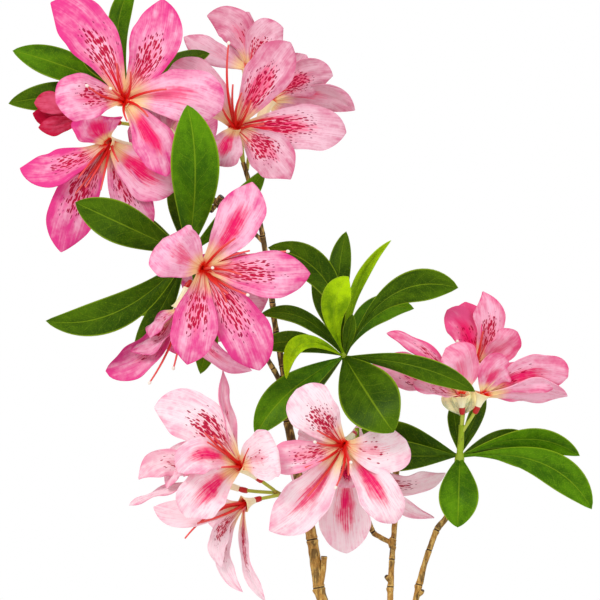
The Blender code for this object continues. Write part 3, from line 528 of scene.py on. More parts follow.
def clock_axes(degrees):
    """The direction at a clock angle in the front view, and the one a quarter turn on from it."""
    clock = math.radians(degrees)
    return (np.array((math.cos(clock), 0.0, math.sin(clock))),
            np.array((-math.sin(clock), 0.0, math.cos(clock))))


def bezier(start, control, tip, t):
    return start * (1.0 - t) ** 2 + control * 2.0 * t * (1.0 - t) + tip * t ** 2


def blade_frame(heart, root, blade, length, t):
    """Midline points at the shares t, with the sideways and the outward direction at each."""
    along, side = clock_axes(blade.clock)
    tip = heart + (along * blade.reach + FRONT * blade.forward) * length
    start = heart + unit(tip - heart) * root
    middle = start + (tip - start) * MIDDLE_SHARE + (side * blade.bow + FRONT * blade.arch) * length
    control = 2.0 * middle - 0.5 * (start + tip)
    share = t[:, None]
    tangents = unit((control - start) * (1.0 - share) + (tip - control) * share)
    outward = unit(FRONT - tangents * (tangents @ FRONT)[:, None])
    roll = math.radians(blade.roll)
    outward = outward * math.cos(roll) + np.cross(tangents, outward) * math.sin(roll)
    return bezier(start, control, tip, share), np.cross(tangents, outward), outward


def petal_outline(t, blunt):
    """Half width of a petal as a share of its half width: narrow claw, broad middle, pointed or round tip."""
    opening = np.sin(0.5 * np.pi * np.minimum(t, PETAL_WIDEST) / PETAL_WIDEST) ** CLAW_OPENING
    claw = PETAL_CLAW + (1.0 - PETAL_CLAW) * opening
    beyond = np.clip((t - PETAL_WIDEST) / (1.0 - PETAL_WIDEST), 0.0, 1.0)
    tip = (1.0 - beyond ** (TIP_POWER + TIP_BLUNTING * blunt)) ** (1.0 - TIP_FALL * blunt)
    return np.maximum(LEAST_WIDTH, np.minimum(claw, tip))


def leaf_outline(t, full):
    """Half width of a leaf as a share of its half width: stalk, then widest past the middle, blunt tip."""
    blade = np.sin(np.pi * np.clip(t, 0.0, 1.0) ** full) ** LEAF_FULLNESS
    return np.maximum(LEAF_STALK * (1.0 - t ** LEAF_STALK_END), blade)


def ripple(positions, seed):
    """Smooth noise from -1 to 1 for each row of positions, moved on by a seed."""
    return np.array([noise.noise(Vector(row) + Vector((seed, seed, seed))) for row in positions])


def ripple_along(across, t, waves, seed):
    """Smooth noise over a blade, with the given waves along it."""
    return ripple(np.stack((across, t * waves, 0.0 * t), axis=1), seed)


def petal_mesh(name, heart, petal, facing_back, material):
    rng = random.Random(name)
    piece, across, t = new_grid(name, *PETAL_GRID)
    points, sideways, outward = blade_frame(heart, PETAL_ROOT, petal, sizes().petal_length, t)
    outline = petal_outline(t, petal.blunt)
    half = 0.5 * sizes().petal_width * petal.width * outline
    seed = rng.uniform(0.0, SEED_SPAN)
    left, right = rng.uniform(0.0, WAVE_PHASE), rng.uniform(0.0, WAVE_PHASE)
    phase = np.where(across < 0.0, left, right)
    waves = rng.uniform(*PETAL_WAVES)
    swell = np.sin(np.pi * np.clip(t, 0.0, 1.0))
    soft = ripple_along(across * SOFT_ACROSS, t, SOFT_WAVES, seed)
    ruffle = np.sin(2.0 * np.pi * waves * t + phase) * np.abs(across) ** RUFFLE_EDGE * swell ** RUFFLE_SPREAD
    lift = PETAL_CUP * half * across ** 2 * (1.0 - CUP_TURN * t)
    lift += sizes().petal_ruffle * (ruffle + PETAL_SOFTNESS * soft * swell)
    lift -= PETAL_GROOVE * np.exp(-(across / PETAL_GROOVE_WIDTH) ** 2) * swell
    lift -= rng.uniform(*TIP_CURL) * np.clip((t - TIP_START) / (1.0 - TIP_START), 0.0, 1.0) ** 2
    nicks = NICK_NOISE * ripple_along(2.0 * np.sign(across), t, NICK_NOISE_WAVES, seed)
    dents = np.sin(2.0 * np.pi * NICK_WAVES * t + NICK_PHASE * phase) + nicks
    half = half * (1.0 + NICK_DEPTH * dents * swell)
    place_vertices(piece, points + sideways * (half * across)[:, None] + outward * lift[:, None])
    rear = thicken(piece, sizes().petal_thickness)
    fan = np.tile(np.where(t > PETAL_WIDEST, outline, 1.0), 2)
    for key, values in (("rear", 1.0 - rear if facing_back else rear), ("seed", seed), ("fan", fan),
                        ("speckle", petal.speckle), ("blotch", petal.blotch), ("flush", petal.flush)):
        mark(piece, key, values)
    dress(piece, material)
    return piece


def leaf_mesh(name, heart, leaf):
    rng = random.Random(name)
    piece, across, t = new_grid(name, *LEAF_GRID)
    points, sideways, outward = blade_frame(heart, LEAF_ROOT, leaf, sizes().leaf_length, t)
    half = 0.5 * sizes().leaf_width * leaf.width * leaf_outline(t, leaf.full)
    seed = rng.uniform(0.0, SEED_SPAN)
    edge = np.abs(across)
    swell = np.sin(np.pi * t)
    phase = np.where(across < 0.0, seed, LEAF_RIGHT_PHASE * seed)
    wave = np.sin(2.0 * np.pi * rng.uniform(*LEAF_WAVES) * t + phase)
    lift = LEAF_CUP * half * across ** 2 * (1.0 - CUP_TURN * t)
    lift += LEAF_KEEL * half * edge + LEAF_WAVE * wave * edge ** 2 * swell
    lift -= LEAF_GROOVE * np.exp(-(across / LEAF_GROOVE_WIDTH) ** 2) * (1.0 - t)
    lift += LEAF_SWELL * ripple_along(across, t, SOFT_WAVES, seed) * swell
    place_vertices(piece, points + sideways * (half * across)[:, None] + outward * lift[:, None])
    mark(piece, "rear", thicken(piece, sizes().leaf_thickness))
    mark(piece, "seed", seed)
    dress(piece, leaf_material(leaf.age))
    return piece


def smooth_route(points, step):
    """Catmull-Rom curve through the route's points, read at about one point every step metres."""
    padded = np.array([points[0]] + list(points) + [points[-1]])
    route = []
    for before, start, end, after in zip(padded, padded[1:], padded[2:], padded[3:]):
        count = max(1, round(float(np.linalg.norm(end[:3] - start[:3])) / step))
        for t in np.arange(count) / count:
            route.append(0.5 * (2 * start + (end - before) * t + (2 * before - 5 * start + 4 * end - after)
                                * t ** 2 + (3 * start - before - 3 * end + after) * t ** 3))
    route.append(padded[-1])
    return np.array(route)


def turned_rows(origin, axis, profile, scale=1.0):
    """Route rows of a turned part: the profile's places along the axis, and its radii times the scale."""
    return [(*(origin + axis * place), scale * radius) for place, radius in profile]


def carried_frames(centres):
    """Two directions square to the route at every point, carried along it without a twist."""
    tangents = unit(np.gradient(centres, axis=0))
    first = np.eye(3)[np.argmin(np.abs(tangents[0]))]
    firsts = []
    for tangent in tangents:
        first = unit(first - tangent * (first @ tangent))
        firsts.append(first)
    firsts = np.array(firsts)
    return firsts, np.cross(tangents, firsts)


def tube_mesh(name, route, sides, material, relief=None, capped=True):
    """Round tube through (x, y, z, radius) rows: a grid rolled round the route and merged along its seam."""
    route = np.array(route)
    centres, radii = route[:, :3], route[:, 3]
    firsts, seconds = carried_frames(centres)
    rows = np.arange(len(centres))
    if capped:
        rows = np.concatenate(([0], rows, [len(centres) - 1]))
    piece, across, t = new_grid(name, sides, len(rows) - 1)
    index = np.rint(t * (len(rows) - 1)).astype(int)
    ring = rows[index]
    angle = (across + 1.0) * np.pi
    radius = radii[ring]
    if relief is not None:
        radius = radius + relief(ring, angle)
    if capped:
        radius = np.where((index == 0) | (index == len(rows) - 1), 0.0, radius)
    spread = firsts[ring] * np.cos(angle)[:, None] + seconds[ring] * np.sin(angle)[:, None]
    place_vertices(piece, centres[ring] + spread * radius[:, None])
    bpy.ops.object.mode_set(mode="EDIT")
    bpy.ops.mesh.select_all(action="SELECT")
    bpy.ops.mesh.remove_doubles(threshold=SEAM_WIDTH)
    bpy.ops.object.mode_set(mode="OBJECT")
    dress(piece, material)
    return piece


# ---------------------------------------------------------------- materials

class Wire:
    """An output socket; arithmetic on it places math nodes."""

    def __init__(self, graph, socket):
        self.graph = graph
        self.socket = socket

    def __add__(self, other):
        return self.graph.math("ADD", self, other)

    def __sub__(self, other):
        return self.graph.math("SUBTRACT", self, other)

    def __mul__(self, other):
        return self.graph.math("MULTIPLY", self, other)

    def __truediv__(self, other):
        return self.graph.math("DIVIDE", self, other)

    def __pow__(self, other):
        return self.graph.math("POWER", self, other)

    def __abs__(self):
        return self.graph.math("ABSOLUTE", self)


class Graph:
    """Places shader nodes and feeds their sockets: a wire is linked, a plain value is set on the socket."""

    def __init__(self, tree):
        self.tree = tree

    def feed(self, socket, value):
        if isinstance(value, Wire):
            self.tree.links.new(value.socket, socket)
        elif socket.type == "RGBA":
            socket.default_value = (*value[:3], 1.0)
        else:
            socket.default_value = value

    def node(self, kind, feeds=None, **settings):
        node = self.tree.nodes.new(kind)
        for key, value in settings.items():
            setattr(node, key, value)
        for key, value in (feeds or {}).items():
            self.feed(node.inputs[key], value)
        return node

    def wire(self, output, kind, feeds=None, **settings):
        """A new node's output, by name or place."""
        return Wire(self, self.node(kind, feeds, **settings).outputs[output])

    def math(self, operation, first, second=0.0, clamp=False):
        return self.wire(0, "ShaderNodeMath", {0: first, 1: second}, operation=operation, use_clamp=clamp)

    def ramp(self, value, low, high):
        """0 below low, 1 above high, and smooth between them; low may be the greater one."""
        ends = {"From Min": min(low, high), "From Max": max(low, high),
                "To Min": 0.0 if low < high else 1.0, "To Max": 1.0 if low < high else 0.0}
        return self.wire("Result", "ShaderNodeMapRange", {"Value": value, **ends},
                         interpolation_type="SMOOTHSTEP")

    def mix(self, factor, first, second, blend="MIX"):
        return self.wire(2, "ShaderNodeMix", {0: factor, 6: first, 7: second}, data_type="RGBA",
                         blend_type=blend)

    def tinted(self, colour, tint):
        return self.mix(1.0, colour, tint, "MULTIPLY")

    def vector(self, x, y, z):
        return self.wire(0, "ShaderNodeCombineXYZ", {0: x, 1: y, 2: z})

    def noise(self, place, scale=1.0, detail=2.0):
        return self.wire("Fac", "ShaderNodeTexNoise", {"Vector": place, "Scale": scale, "Detail": detail})

    def attributes(self, *names):
        return [self.wire("Fac", "ShaderNodeAttribute", attribute_name=name) for name in names]

    def split(self, vector):
        node = self.node("ShaderNodeSeparateXYZ", {0: vector})
        return [Wire(self, output) for output in node.outputs]

    def surface_shares(self):
        """The share across (-1 to 1) and along (0 to 1) of the own UV map."""
        across, along = self.split(self.wire(0, "ShaderNodeUVMap", uv_map="UVMap"))[:2]
        return across * 2.0 - 1.0, along

    def object_place(self):
        return self.wire("Object", "ShaderNodeTexCoord")


def new_group(name, colours_in, values_out):
    """A shader group from colours to one colour and some values: its graph, its inputs and its end."""
    tree = bpy.data.node_groups.new(name, "ShaderNodeTree")
    for socket in colours_in:
        tree.interface.new_socket(socket, in_out="INPUT", socket_type="NodeSocketColor")
    tree.interface.new_socket("Colour", in_out="OUTPUT", socket_type="NodeSocketColor")
    for socket in values_out:
        tree.interface.new_socket(socket, in_out="OUTPUT", socket_type="NodeSocketFloat")
    graph = Graph(tree)
    start = graph.node("NodeGroupInput")
    return graph, [Wire(graph, start.outputs[socket]) for socket in colours_in], graph.node("NodeGroupOutput")


def petal_group(name):
    """Mottled pink with fine veins, deeper patches, blotch, streaks and speckles, laid out along a petal."""
    graph, inks, end = new_group(
        name, ("Middle", "Margin", "Blotch", "Speckle", "Dot", "Streak", "Claw", "Throat"), ("Height",))
    middle, margin, blotch_ink, speckle_ink, dot_ink, streak_ink, claw, throat = inks
    mix, ramp, noise_at, vector = graph.mix, graph.ramp, graph.noise, graph.vector
    across, along = graph.surface_shares()
    side = abs(across)
    seed, speckle, blotch, flush, fan, rear = graph.attributes(
        "seed", "speckle", "blotch", "flush", "fan", "rear")
    veined = across * fan
    fine = noise_at(vector(veined * 19.0, along * 2.4, seed), 1.0, 4.0)
    cloud = noise_at(graph.object_place(), 420.0, 4.0)
    fine_swing = fine - 0.5
    broad_swing = noise_at(vector(veined * 2.6, along * 3.4, seed)) - 0.5
    cloud_swing = cloud - 0.5

    # Flush: patches of deeper pink, more of them towards the margins and the tip.
    reach = side ** 2.5 * 0.42 + ramp(along, 0.6, 1.0) * 0.28
    reach = reach + fine_swing * 0.75 + broad_swing * 1.7 + cloud_swing * 0.6 + (flush - 0.30)
    flushed = mix(ramp(reach, -0.15, 1.10), middle, margin)

    # Veins: thin deeper lines along the petal.
    strands = abs(noise_at(vector(veined * 11.0, along * 1.3, seed), 1.0, 3.0) - 0.5)
    veins = ramp(strands, 0.040, 0.004) * ramp(cloud, 0.3, 0.6)
    colour = mix(veins * 0.45, flushed, margin)

    # Blotch: a flare up the middle with streaky ends.
    wide = abs((broad_swing * 0.5 + veined) * 2.4) ** 2.0
    spread = wide + ((along - 0.38) * 3.0) ** 2.0 + fine_swing * 2.6 + cloud_swing * 1.2
    spread = spread / graph.math("MAXIMUM", blotch, 0.05)
    flare = ramp(spread, 1.3, -0.1) * graph.math("MULTIPLY", blotch, 0.9, True)
    colour = mix(flare, colour, blotch_ink)

    # Claw: cream at the petal's foot.
    foot = along + fine_swing * 0.14
    colour = mix(ramp(foot, 0.27, 0.08) * 0.9, colour, claw)

    # Speckles: dashes that point out of the throat and run together low down, dark dots at the rim. A
    # speckled petal without a blotch is pale under them.
    core = (veined * 1.3) ** 2.0 + ((along - 0.29) * 2.6) ** 2.0 + broad_swing * 1.1
    region = ramp(core, 1.15, 0.05)
    spotted = region * speckle * ramp(along, 0.62, 0.40)
    bare = spotted * graph.math("SUBTRACT", 1.0, blotch, True)
    colour = mix(graph.math("MULTIPLY", bare, 0.65, True), colour, middle)
    colour = mix(spotted * ramp(fine, 0.42, 0.62) * 0.50, colour, blotch_ink)
    cells = graph.node("ShaderNodeTexVoronoi", {
        "Scale": 1.0, "Randomness": 0.9, "Vector": vector(veined * 11.5, along * 17.0, seed * 3.0)})
    chance = graph.wire(0, "ShaderNodeSeparateColor", {0: Wire(graph, cells.outputs["Color"])})
    dash = ramp(Wire(graph, cells.outputs["Distance"]) - (region * 0.35 + 0.20), 0.05, -0.05)
    present = ramp(ramp(core, 1.55, 0.25) * (speckle * 1.15) - chance, 0.0, 0.10)
    spots = dash * (present * ramp(along, 0.10, 0.24))
    colour = mix(spots * 0.97, colour, mix(ramp(core, 1.0, 0.2), dot_ink, speckle_ink))

    # Streaks that run out of the throat, on speckled petals most of all.
    lines = ramp(noise_at(vector(across * 7.0, along * 0.9, seed), 1.0, 1.0), 0.47, 0.60)
    lines = lines * ramp(along, 0.36, 0.12) * ramp(side, 0.95, 0.45)
    colour = mix(lines * (speckle * 0.55 + 0.30), colour, streak_ink)
    colour = mix(ramp(foot, 0.075, 0.015), colour, throat)

    # The rear face is duller and shows the pattern only faintly.
    dull = graph.tinted(mix(veins * 0.5, flushed, margin), (0.98, 0.90, 0.93))
    crinkle = noise_at(graph.object_place(), 1100.0, 3.0)
    graph.feed(end.inputs["Colour"], mix(rear * 0.78, colour, dull))
    graph.feed(end.inputs["Height"], fine * 0.8 + crinkle * 0.25 - veins * 0.2)
    return graph.tree


def leaf_group(name):
    """Mottled green with a pale midrib, faint curved side veins and a thin yellowish rim."""
    graph, (blade, vein), end = new_group(name, ("Blade", "Vein"), ("Roughness", "Height"))
    mix, ramp, noise_at, vector = graph.mix, graph.ramp, graph.noise, graph.vector
    across, along = graph.surface_shares()
    side = abs(across)
    seed, rear = graph.attributes("seed", "rear")
    mottle = noise_at(graph.object_place(), 260.0, 4.0)
    grain = noise_at(graph.object_place(), 1900.0)
    light = mottle * 0.55 + noise_at(vector(across * 1.1, along * 2.2, seed))
    light = light + ramp(along, 0.45, 1.0) * 0.22 + (grain - 0.5) * 0.45
    colour = mix(ramp(light, 0.50, 1.20), graph.tinted(blade, (0.50, 0.56, 0.6)),
                 graph.tinted(blade, (1.65, 1.42, 1.2)))
    midrib = ramp(side, 0.050, 0.012)
    wobble = noise_at(vector(across, along * 3.0, seed), 2.0, 1.0)
    phase = graph.math("FRACT", along * 9.0 - side ** 0.8 * 1.7 + wobble * 0.6)
    veins = ramp(abs(phase - 0.5) * 2.0, 0.92, 1.0) * ramp(side, 0.92, 0.50)
    for share in (ramp(grain, 0.56, 0.74) * 0.16, veins * 0.18, midrib * 0.33, ramp(side, 0.90, 1.0) * 0.55):
        colour = mix(share, colour, vein)
    graph.feed(end.inputs["Colour"], mix(rear * 0.8, colour, mix(0.30, colour, vein)))
    graph.feed(end.inputs["Roughness"], mottle * 0.18 + 0.28 + rear * 0.25)
    graph.feed(end.inputs["Height"], grain * 0.35 + mottle * 0.4 - (veins * 0.35 + midrib * 0.6))
    return graph.tree


def bark_group(name):
    """Lengthwise streaks, cracks and dark ring scars, tan low down and browner above."""
    graph, (upper, lower, dark, pale, young), end = new_group(
        name, ("Upper", "Lower", "Dark", "Pale", "Young"), ("Roughness", "Height"))
    mix, ramp = graph.mix, graph.ramp
    place = graph.object_place()
    x, y, z = graph.split(place)
    ring, green = graph.attributes("ring", "green")
    patches = graph.noise(place, 210.0)
    flakes = graph.noise(place, 900.0, 4.0)
    streaks = graph.noise(graph.vector(x * 800.0, y * 800.0, z * 190.0), 1.0, 3.0)
    colour = mix(ramp(z + patches * 0.10, 0.13, 0.22), lower, upper)
    colour = mix(ramp(patches, 0.50, 0.62) * 0.6, colour, upper)
    colour = mix(ramp(streaks, 0.52, 0.36) * 0.7, colour, pale)
    colour = mix(ramp(ring, 0.02, 0.25) * ramp(ring, 0.60, 0.35) * 0.55, colour, pale)
    cracks = ramp(streaks, 0.55, 0.72) * 0.55
    for other in (ramp(flakes, 0.58, 0.72) * 0.6, ramp(ring, 0.45, 0.80) * 0.9):
        cracks = graph.math("MAXIMUM", cracks, other)
    colour = mix(cracks, colour, dark)
    skin = mix(ramp(flakes, 0.50, 0.70) * 0.5, young, upper)
    graph.feed(end.inputs["Colour"], mix(green, colour, skin))
    graph.feed(end.inputs["Roughness"], flakes * 0.2 + 0.55)
    graph.feed(end.inputs["Height"], flakes * 0.6 - cracks * 0.7)
    return graph.tree


GROUP_MAKERS = {"petal_pattern": petal_group, "leaf_pattern": leaf_group, "bark_pattern": bark_group}


def new_material(name, **look):
    """A material, the graph to fill it and its shader, with the given roughness and specular level."""
    material = bpy.data.materials.new(name)
    material.use_nodes = True
    graph = Graph(material.node_tree)
    shader = material.node_tree.nodes["Principled BSDF"]
    graph.feed(shader.inputs["Roughness"], look.get("roughness", 0.5))
    graph.feed(shader.inputs["Specular IOR Level"], look.get("specular", 0.5))
    return material, graph, shader


def bump(graph, shader, height, distance):
    feeds = {"Height": height, "Distance": distance, "Strength": BUMP_STRENGTH}
    graph.feed(shader.inputs["Normal"], graph.wire("Normal", "ShaderNodeBump", feeds))


def patterned_material(name, group_name, inputs, distance, **look):
    """A material that takes its colour, its height and maybe its roughness from a shared group."""
    if name in bpy.data.materials:
        return bpy.data.materials[name]
    material, graph, shader = new_material(name, **look)
    tree = bpy.data.node_groups.get(group_name) or GROUP_MAKERS[group_name](group_name)
    pattern = graph.node("ShaderNodeGroup", node_tree=tree)
    for key, value in inputs.items():
        graph.feed(pattern.inputs[key], value)
    given = {output.name: Wire(graph, output) for output in pattern.outputs}
    graph.feed(shader.inputs["Base Color"], given["Colour"])
    if "Roughness" in given:
        graph.feed(shader.inputs["Roughness"], given["Roughness"])
    bump(graph, shader, given["Height"], distance)
    return material


def petal_material(kind):
    chart = colours()
    tint = kind.removeprefix("petal_")
    inputs = {key.capitalize(): getattr(chart, key)
              for key in ("blotch", "speckle", "dot", "streak", "claw", "throat")}
    inputs.update(Middle=getattr(chart, tint + "_pale"), Margin=getattr(chart, tint + "_deep"))
    if tint == "bud":
        inputs.update(Claw=chart.bud_deep, Throat=chart.bud_deep)
    return patterned_material(kind + "_veined", "petal_pattern", inputs, BLADE_BUMP, roughness=0.6,
                              specular=0.06)


def leaf_material(age):
    chart = colours()
    name = ("leaf_mature", "leaf_fresh", "leaf_young", "bract")[age]
    return patterned_material(name, "leaf_pattern", {"Blade": getattr(chart, name), "Vein": chart.leaf_vein},
                              BLADE_BUMP, specular=0.05)


def bark_material():
    chart = colours()
    inputs = {"Upper": chart.bark_brown, "Lower": chart.bark_tan, "Dark": chart.bark_dark,
              "Pale": chart.bark_pale, "Young": chart.stem_green}
    return patterned_material("bark_cracked", "bark_pattern", inputs, BARK_BUMP, roughness=0.6,
                              specular=0.3)


def graded_material(name, foot, tip, low, high, roughness):
    """A colour that changes from foot to tip along the UV map, with a light grain."""
    if name in bpy.data.materials:
        return bpy.data.materials[name]
    material, graph, shader = new_material(name, roughness=roughness)
    along = graph.surface_shares()[1]
    grain = graph.noise(graph.object_place(), GRAIN_SCALE)
    colour = graph.mix(graph.ramp(along + grain * 0.12, low, high), foot, tip)
    colour = graph.mix(grain * 0.35, colour, graph.tinted(colour, (0.72, 0.66, 0.62)))
    graph.feed(shader.inputs["Base Color"], colour)
    bump(graph, shader, grain, GRAIN_BUMP)
    return material


def throat_material():
    """Cream outside and red inside, where the funnel's rear attribute is 1 on the outside."""
    name = "petal_throat"
    if name in bpy.data.materials:
        return bpy.data.materials[name]
    material, graph, shader = new_material(name, specular=0.3)
    chart = colours()
    along = graph.surface_shares()[1]
    grain = graph.noise(graph.object_place(), GRAIN_SCALE)
    inner = graph.mix(graph.ramp(along + grain * 0.15, 1.08, 0.8), chart.claw, chart.throat)
    outer = graph.mix(graph.ramp(along, 0.1, 0.9) * 0.4, chart.throat_outer, chart.claw)
    outer = graph.mix(graph.ramp(grain, 0.50, 0.80) * 0.15, outer, chart.streak)
    graph.feed(shader.inputs["Base Color"], graph.mix(graph.attributes("rear")[0], inner, outer))
    bump(graph, shader, grain, GRAIN_BUMP)
    return material


# ---------------------------------------------------------------- parts

def limb_relief(route, scars, ridge_scale):
    """Relief and scar strength of a limb, for every ring and angle."""
    steps = np.linalg.norm(np.diff(route[:, :3], axis=0), axis=1)
    lengths = np.concatenate(([0.0], np.cumsum(steps)))
    places = [lengths[np.argmin(np.abs(route[:, 2] - height))] for height in scars]
    seed = len(route) * SEED_PER_RING

    def near(ring, place, width):
        return np.exp(-((lengths[ring] - place) / width) ** 2)

    def groove(ring, width):
        return np.max([near(ring, place, width) for place in places] + [np.zeros(len(ring))], axis=0)

    def relief(ring, angle):
        around = np.stack((np.cos(angle) * RIDGES_ROUND, np.sin(angle) * RIDGES_ROUND,
                           lengths[ring] * RIDGES_PER_METRE), axis=1)
        ridges = ripple(around, seed)
        lumps = LUMP_HEIGHT * ripple(around * LUMP_COARSENESS, seed + LUMP_SEED)
        swell = SCAR_SWELL * groove(ring, SCAR_SWELL_WIDTH) - SCAR_GROOVE * groove(ring, SCAR_GROOVE_WIDTH)
        for count, place in enumerate(places):
            facing = np.maximum(np.cos(angle - LEAF_BASE_TURN * count), 0.0) ** 3
            swell += LEAF_BASE * near(ring, place - LEAF_BASE_DROP, LEAF_BASE_WIDTH) * facing
        return swell * route[ring, 3] + sizes().bark_relief * ridge_scale * (ridges + lumps)

    return relief, groove


def limb_piece(name, points, scars, green):
    route = smooth_route(points, LIMB_STEP)
    ridge_scale = RIDGE_LEAST + RIDGE_PER_RADIUS * float(np.median(route[:, 3]))
    relief, groove = limb_relief(route, scars, ridge_scale)
    piece = tube_mesh(name, route, LIMB_SIDES, bark_material(), relief)
    spots = read_vertices(piece)
    spots[:, 2] = np.maximum(spots[:, 2], 0.0)
    place_vertices(piece, spots)
    gaps = np.linalg.norm(spots[:, None] - route[None, :, :3], axis=2)
    mark(piece, "ring", groove(np.argmin(gaps, axis=1), SCAR_STAIN_WIDTH))
    mark(piece, "green", np.clip((spots[:, 2] - green[0]) / (green[1] - green[0]), 0.0, 1.0))
    return piece


class AZALEA_OT_wood(bpy.types.Operator):
    """Build the stems, boughs and twigs with their bark"""
    bl_idname = "azalea.wood"
    bl_label = "Wood"

    def execute(self, context):
        for name, (points, scars) in LIMBS.items():
            parts = [limb_piece(name + "_bark", points, scars, GREEN.get(name, NEVER_GREEN))]
            for stump in STUMPS.get(name, ()):
                parts.append(limb_piece(name + "_stump", stump, (stump[-1][2],), NEVER_GREEN))
            finish_piece(name + "_bark", parts, [name], "bark")
        return {"FINISHED"}


class AZALEA_OT_leaves(bpy.types.Operator):
    """Build the four leaf whorls"""
    bl_idname = "azalea.leaves"
    bl_label = "Leaves"

    def execute(self, context):
        bark = graded_material("twig_green", colours().bark_brown, colours().stem_green, 0.1, 0.6, 0.6)
        for name, (limb_name, place, leaves) in WHORLS.items():
            route = np.array(LIMBS[limb_name][0])
            at_tip = place == -1
            rise = unit(route[place, :3] - route[place - 1, :3])
            foot = route[place, :3] - (0.0 if at_tip else rise * 0.5 * WHORL_HEIGHT)
            heart = foot + rise * WHORL_HEIGHT * WHORL_HEART
            width = route[place, 3] * (1.0 if at_tip else WHORL_AT_FORK)
            hub = turned_rows(foot, rise * WHORL_HEIGHT, HUB, width)
            parts = [tube_mesh(name + "_hub", smooth_route(hub, STALK_STEP), STALK_SIDES, bark)]
            parts += [leaf_mesh(f"{name}_{index}", heart, leaf) for index, leaf in enumerate(leaves)]
            if name == BRACT_WHORL:
                parts += [leaf_mesh(f"bract_{index}", np.array(BRACT_HEART), leaf)
                          for index, leaf in enumerate(BRACTS)]
            finish_piece(name + "_blades", parts, [name], "leaf")
        return {"FINISHED"}


def throat_mesh(name, stalk):
    """Fluted funnel from the ovary to the throat, with a wall."""
    ovary, throat = np.array(stalk[-2]), np.array(stalk[-1])
    rows = turned_rows(ovary, throat - ovary, THROAT)
    rows.append((*(throat + unit(throat - ovary) * THROAT_RIM), THROAT_RIM_RADIUS))
    route = smooth_route(rows, THROAT_STEP)
    piece = tube_mesh(name, route, THROAT_SIDES, throat_material(),
                      lambda ring, angle: FLUTE_DEPTH * route[ring, 3] * np.cos(THROAT_FLUTES * angle),
                      capped=False)
    mark(piece, "rear", 1.0 - thicken(piece, THROAT_WALL))
    return piece


class AZALEA_OT_petals(bpy.types.Operator):
    """Build the petals and the throat of every bloom and bud"""
    bl_idname = "azalea.petals"
    bl_label = "Petals"

    def execute(self, context):
        for name, bloom in BLOOMS.items():
            heart = np.array(bloom.stalk[-1])
            material = petal_material(bloom.kind)
            parts = [petal_mesh(f"{name}_{index}", heart, petal, name in BACK_FACING, material)
                     for index, petal in enumerate(bloom.petals)]
            parts.append(throat_mesh(name + "_throat", bloom.stalk))
            finish_piece(name + "_petals", parts, [name], bloom.kind)
        return {"FINISHED"}


class AZALEA_OT_stalks(bpy.types.Operator):
    """Build the flower stalks with their ovaries"""
    bl_idname = "azalea.stalks"
    bl_label = "Flower stalks"

    def execute(self, context):
        chart = colours()
        green = graded_material("flower_stalk", chart.bark_brown, chart.stalk, -0.2, 0.25, 0.5)
        red = graded_material("ovary", chart.stalk, chart.ovary, 0.0, 0.25, 0.35)
        parts = []
        for name, bloom in BLOOMS.items():
            route = smooth_route([(*point, STALK_RADIUS) for point in bloom.stalk], STALK_STEP)
            split = int(np.argmin(np.linalg.norm(route[:, :3] - np.array(bloom.stalk[1]), axis=1)))
            parts.append(tube_mesh(name + "_stalk", route[:split + 1], STALK_SIDES, green))
            axis = unit(route[split + 1, :3] - route[split, :3])
            body = smooth_route(turned_rows(route[split, :3], axis * MM, OVARY, MM), OVARY_STEP)
            parts.append(tube_mesh(name + "_ovary", body, STALK_SIDES, red))
        finish_piece("flower_stalks", parts, list(BLOOMS), "leaf")
        return {"FINISHED"}


def stamen_route(stalk, stamen):
    """Bezier from inside the throat to the anther, bowed sideways."""
    ovary, throat = np.array(stalk[-2]), np.array(stalk[-1])
    along, side = clock_axes(stamen.clock)
    length = sizes().petal_length
    tip = throat + (along * stamen.reach + FRONT * stamen.forward) * length
    start = throat - unit(throat - ovary) * STAMEN_DEPTH + along * STAMEN_SPACING
    out, forward, sideways = STAMEN_SWING
    control = throat + (along * out * stamen.reach + FRONT * forward * stamen.forward
                        + side * sideways * stamen.bow) * length
    t = np.linspace(0.0, 1.0, STAMEN_RINGS)[:, None]
    return np.hstack((bezier(start, control, tip, t), sizes().filament_radius * (1.0 - STAMEN_TAPER * t)))


class AZALEA_OT_stamens(bpy.types.Operator):
    """Build the stamens of every open bloom"""
    bl_idname = "azalea.stamens"
    bl_label = "Stamens"

    def execute(self, context):
        chart = colours()
        red = graded_material("filament", chart.filament, chart.filament_end, 0.40, 1.10, 0.45)
        white = graded_material("anther", chart.anther, chart.anther, 0.0, 1.0, 0.6)
        parts = []
        for name, bloom in BLOOMS.items():
            for index, stamen in enumerate(bloom.stamens):
                route = stamen_route(bloom.stalk, stamen)
                parts.append(tube_mesh(f"{name}_stamen_{index}", route, STAMEN_SIDES, red))
                if stamen.anther:
                    axis = unit(route[-1, :3] - route[-2, :3])
                    body = smooth_route(turned_rows(route[-1, :3], axis * MM, ANTHER, MM), ANTHER_STEP)
                    parts.append(tube_mesh(f"{name}_anther_{index}", body, ANTHER_SIDES, white))
        finish_piece("stamens", parts, [name for name, bloom in BLOOMS.items() if bloom.stamens],
                     "petal_vivid")
        return {"FINISHED"}


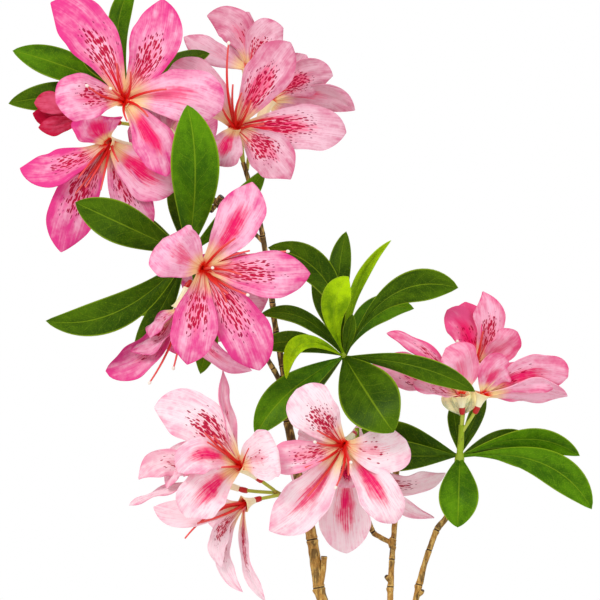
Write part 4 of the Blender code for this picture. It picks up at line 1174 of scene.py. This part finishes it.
class AZALEA_OT_stage(bpy.types.Operator):
    """Set the pale floor, the soft lights, the white surround and the camera"""
    bl_idname = "azalea.stage"
    bl_label = "Stage"

    def execute(self, context):
        scene = context.scene
        bpy.ops.object.select_all(action="DESELECT")
        bpy.ops.mesh.primitive_circle_add(vertices=FLOOR_SIDES, radius=FLOOR_RADIUS, fill_type="NGON",
                                          location=(0.0, 0.0, 0.0))
        floor = context.active_object
        floor.name = "studio_floor"
        material, graph, shader = new_material("floor_matt", roughness=0.9)
        graph.feed(shader.inputs["Base Color"], colours().floor)
        dress(floor, material)

        world = bpy.data.worlds.new("white_surround")
        world.use_nodes = True
        scene.world = world
        graph = Graph(world.node_tree)
        plain = world.node_tree.nodes["Background"]
        graph.feed(plain.inputs["Color"], WHITE)
        graph.feed(plain.inputs["Strength"], SURROUND)
        white = graph.wire(0, "ShaderNodeBackground", {"Color": WHITE, "Strength": 1.0})
        seen = graph.wire("Is Camera Ray", "ShaderNodeLightPath")
        shown = graph.wire(0, "ShaderNodeMixShader", {0: seen, 1: Wire(graph, plain.outputs[0]), 2: white})
        graph.feed(world.node_tree.nodes["World Output"].inputs["Surface"], shown)

        for name, place, power, width in LIGHTS:
            light = bpy.data.lights.new(name, "AREA")
            light.energy = power
            light.size = width
            lamp = bpy.data.objects.new(name, light)
            scene.collection.objects.link(lamp)
            lamp.location = place
            lamp.rotation_euler = (Vector(LIGHT_AIM) - lamp.location).to_track_quat("-Z", "Y").to_euler()

        camera = bpy.data.cameras.new("camera")
        camera.lens = CAMERA_LENS
        camera.sensor_width = CAMERA_SENSOR
        camera.clip_end = CAMERA_REACH
        eye = bpy.data.objects.new("camera", camera)
        scene.collection.objects.link(eye)
        eye.location = CAMERA_PLACE
        eye.rotation_euler = (math.radians(90.0), 0.0, 0.0)
        scene.camera = eye
        scene.view_settings.view_transform = "Standard"
        return {"FINISHED"}


class AZALEA_PT_panel(bpy.types.Panel):
    """Sidebar panel with the sizes, the colours and the building steps"""
    bl_label = "Azalea Shrub"
    bl_space_type = "VIEW_3D"
    bl_region_type = "UI"
    bl_category = "Azalea"

    def draw(self, context):
        column = self.layout.column()
        for group in (context.scene.azalea_sizes, context.scene.azalea_colours):
            for name in group.__annotations__:
                column.prop(group, name)
        for step in STEPS:
            column.operator(step.bl_idname)


STEPS = (AZALEA_OT_wood, AZALEA_OT_leaves, AZALEA_OT_petals, AZALEA_OT_stalks, AZALEA_OT_stamens,
         AZALEA_OT_stage)
CLASSES = (AzaleaSizes, AzaleaColours, *STEPS, AZALEA_PT_panel)


def register():
    for cls in CLASSES:
        bpy.utils.register_class(cls)
    bpy.types.Scene.azalea_sizes = bpy.props.PointerProperty(type=AzaleaSizes)
    bpy.types.Scene.azalea_colours = bpy.props.PointerProperty(type=AzaleaColours)


def unregister():
    del bpy.types.Scene.azalea_colours
    del bpy.types.Scene.azalea_sizes
    for cls in reversed(CLASSES):
        bpy.utils.unregister_class(cls)


def main():
    register()
    for step in STEPS:
        section, action = step.bl_idname.split(".")
        getattr(getattr(bpy.ops, section), action)()


if __name__ == "__main__":
    main()
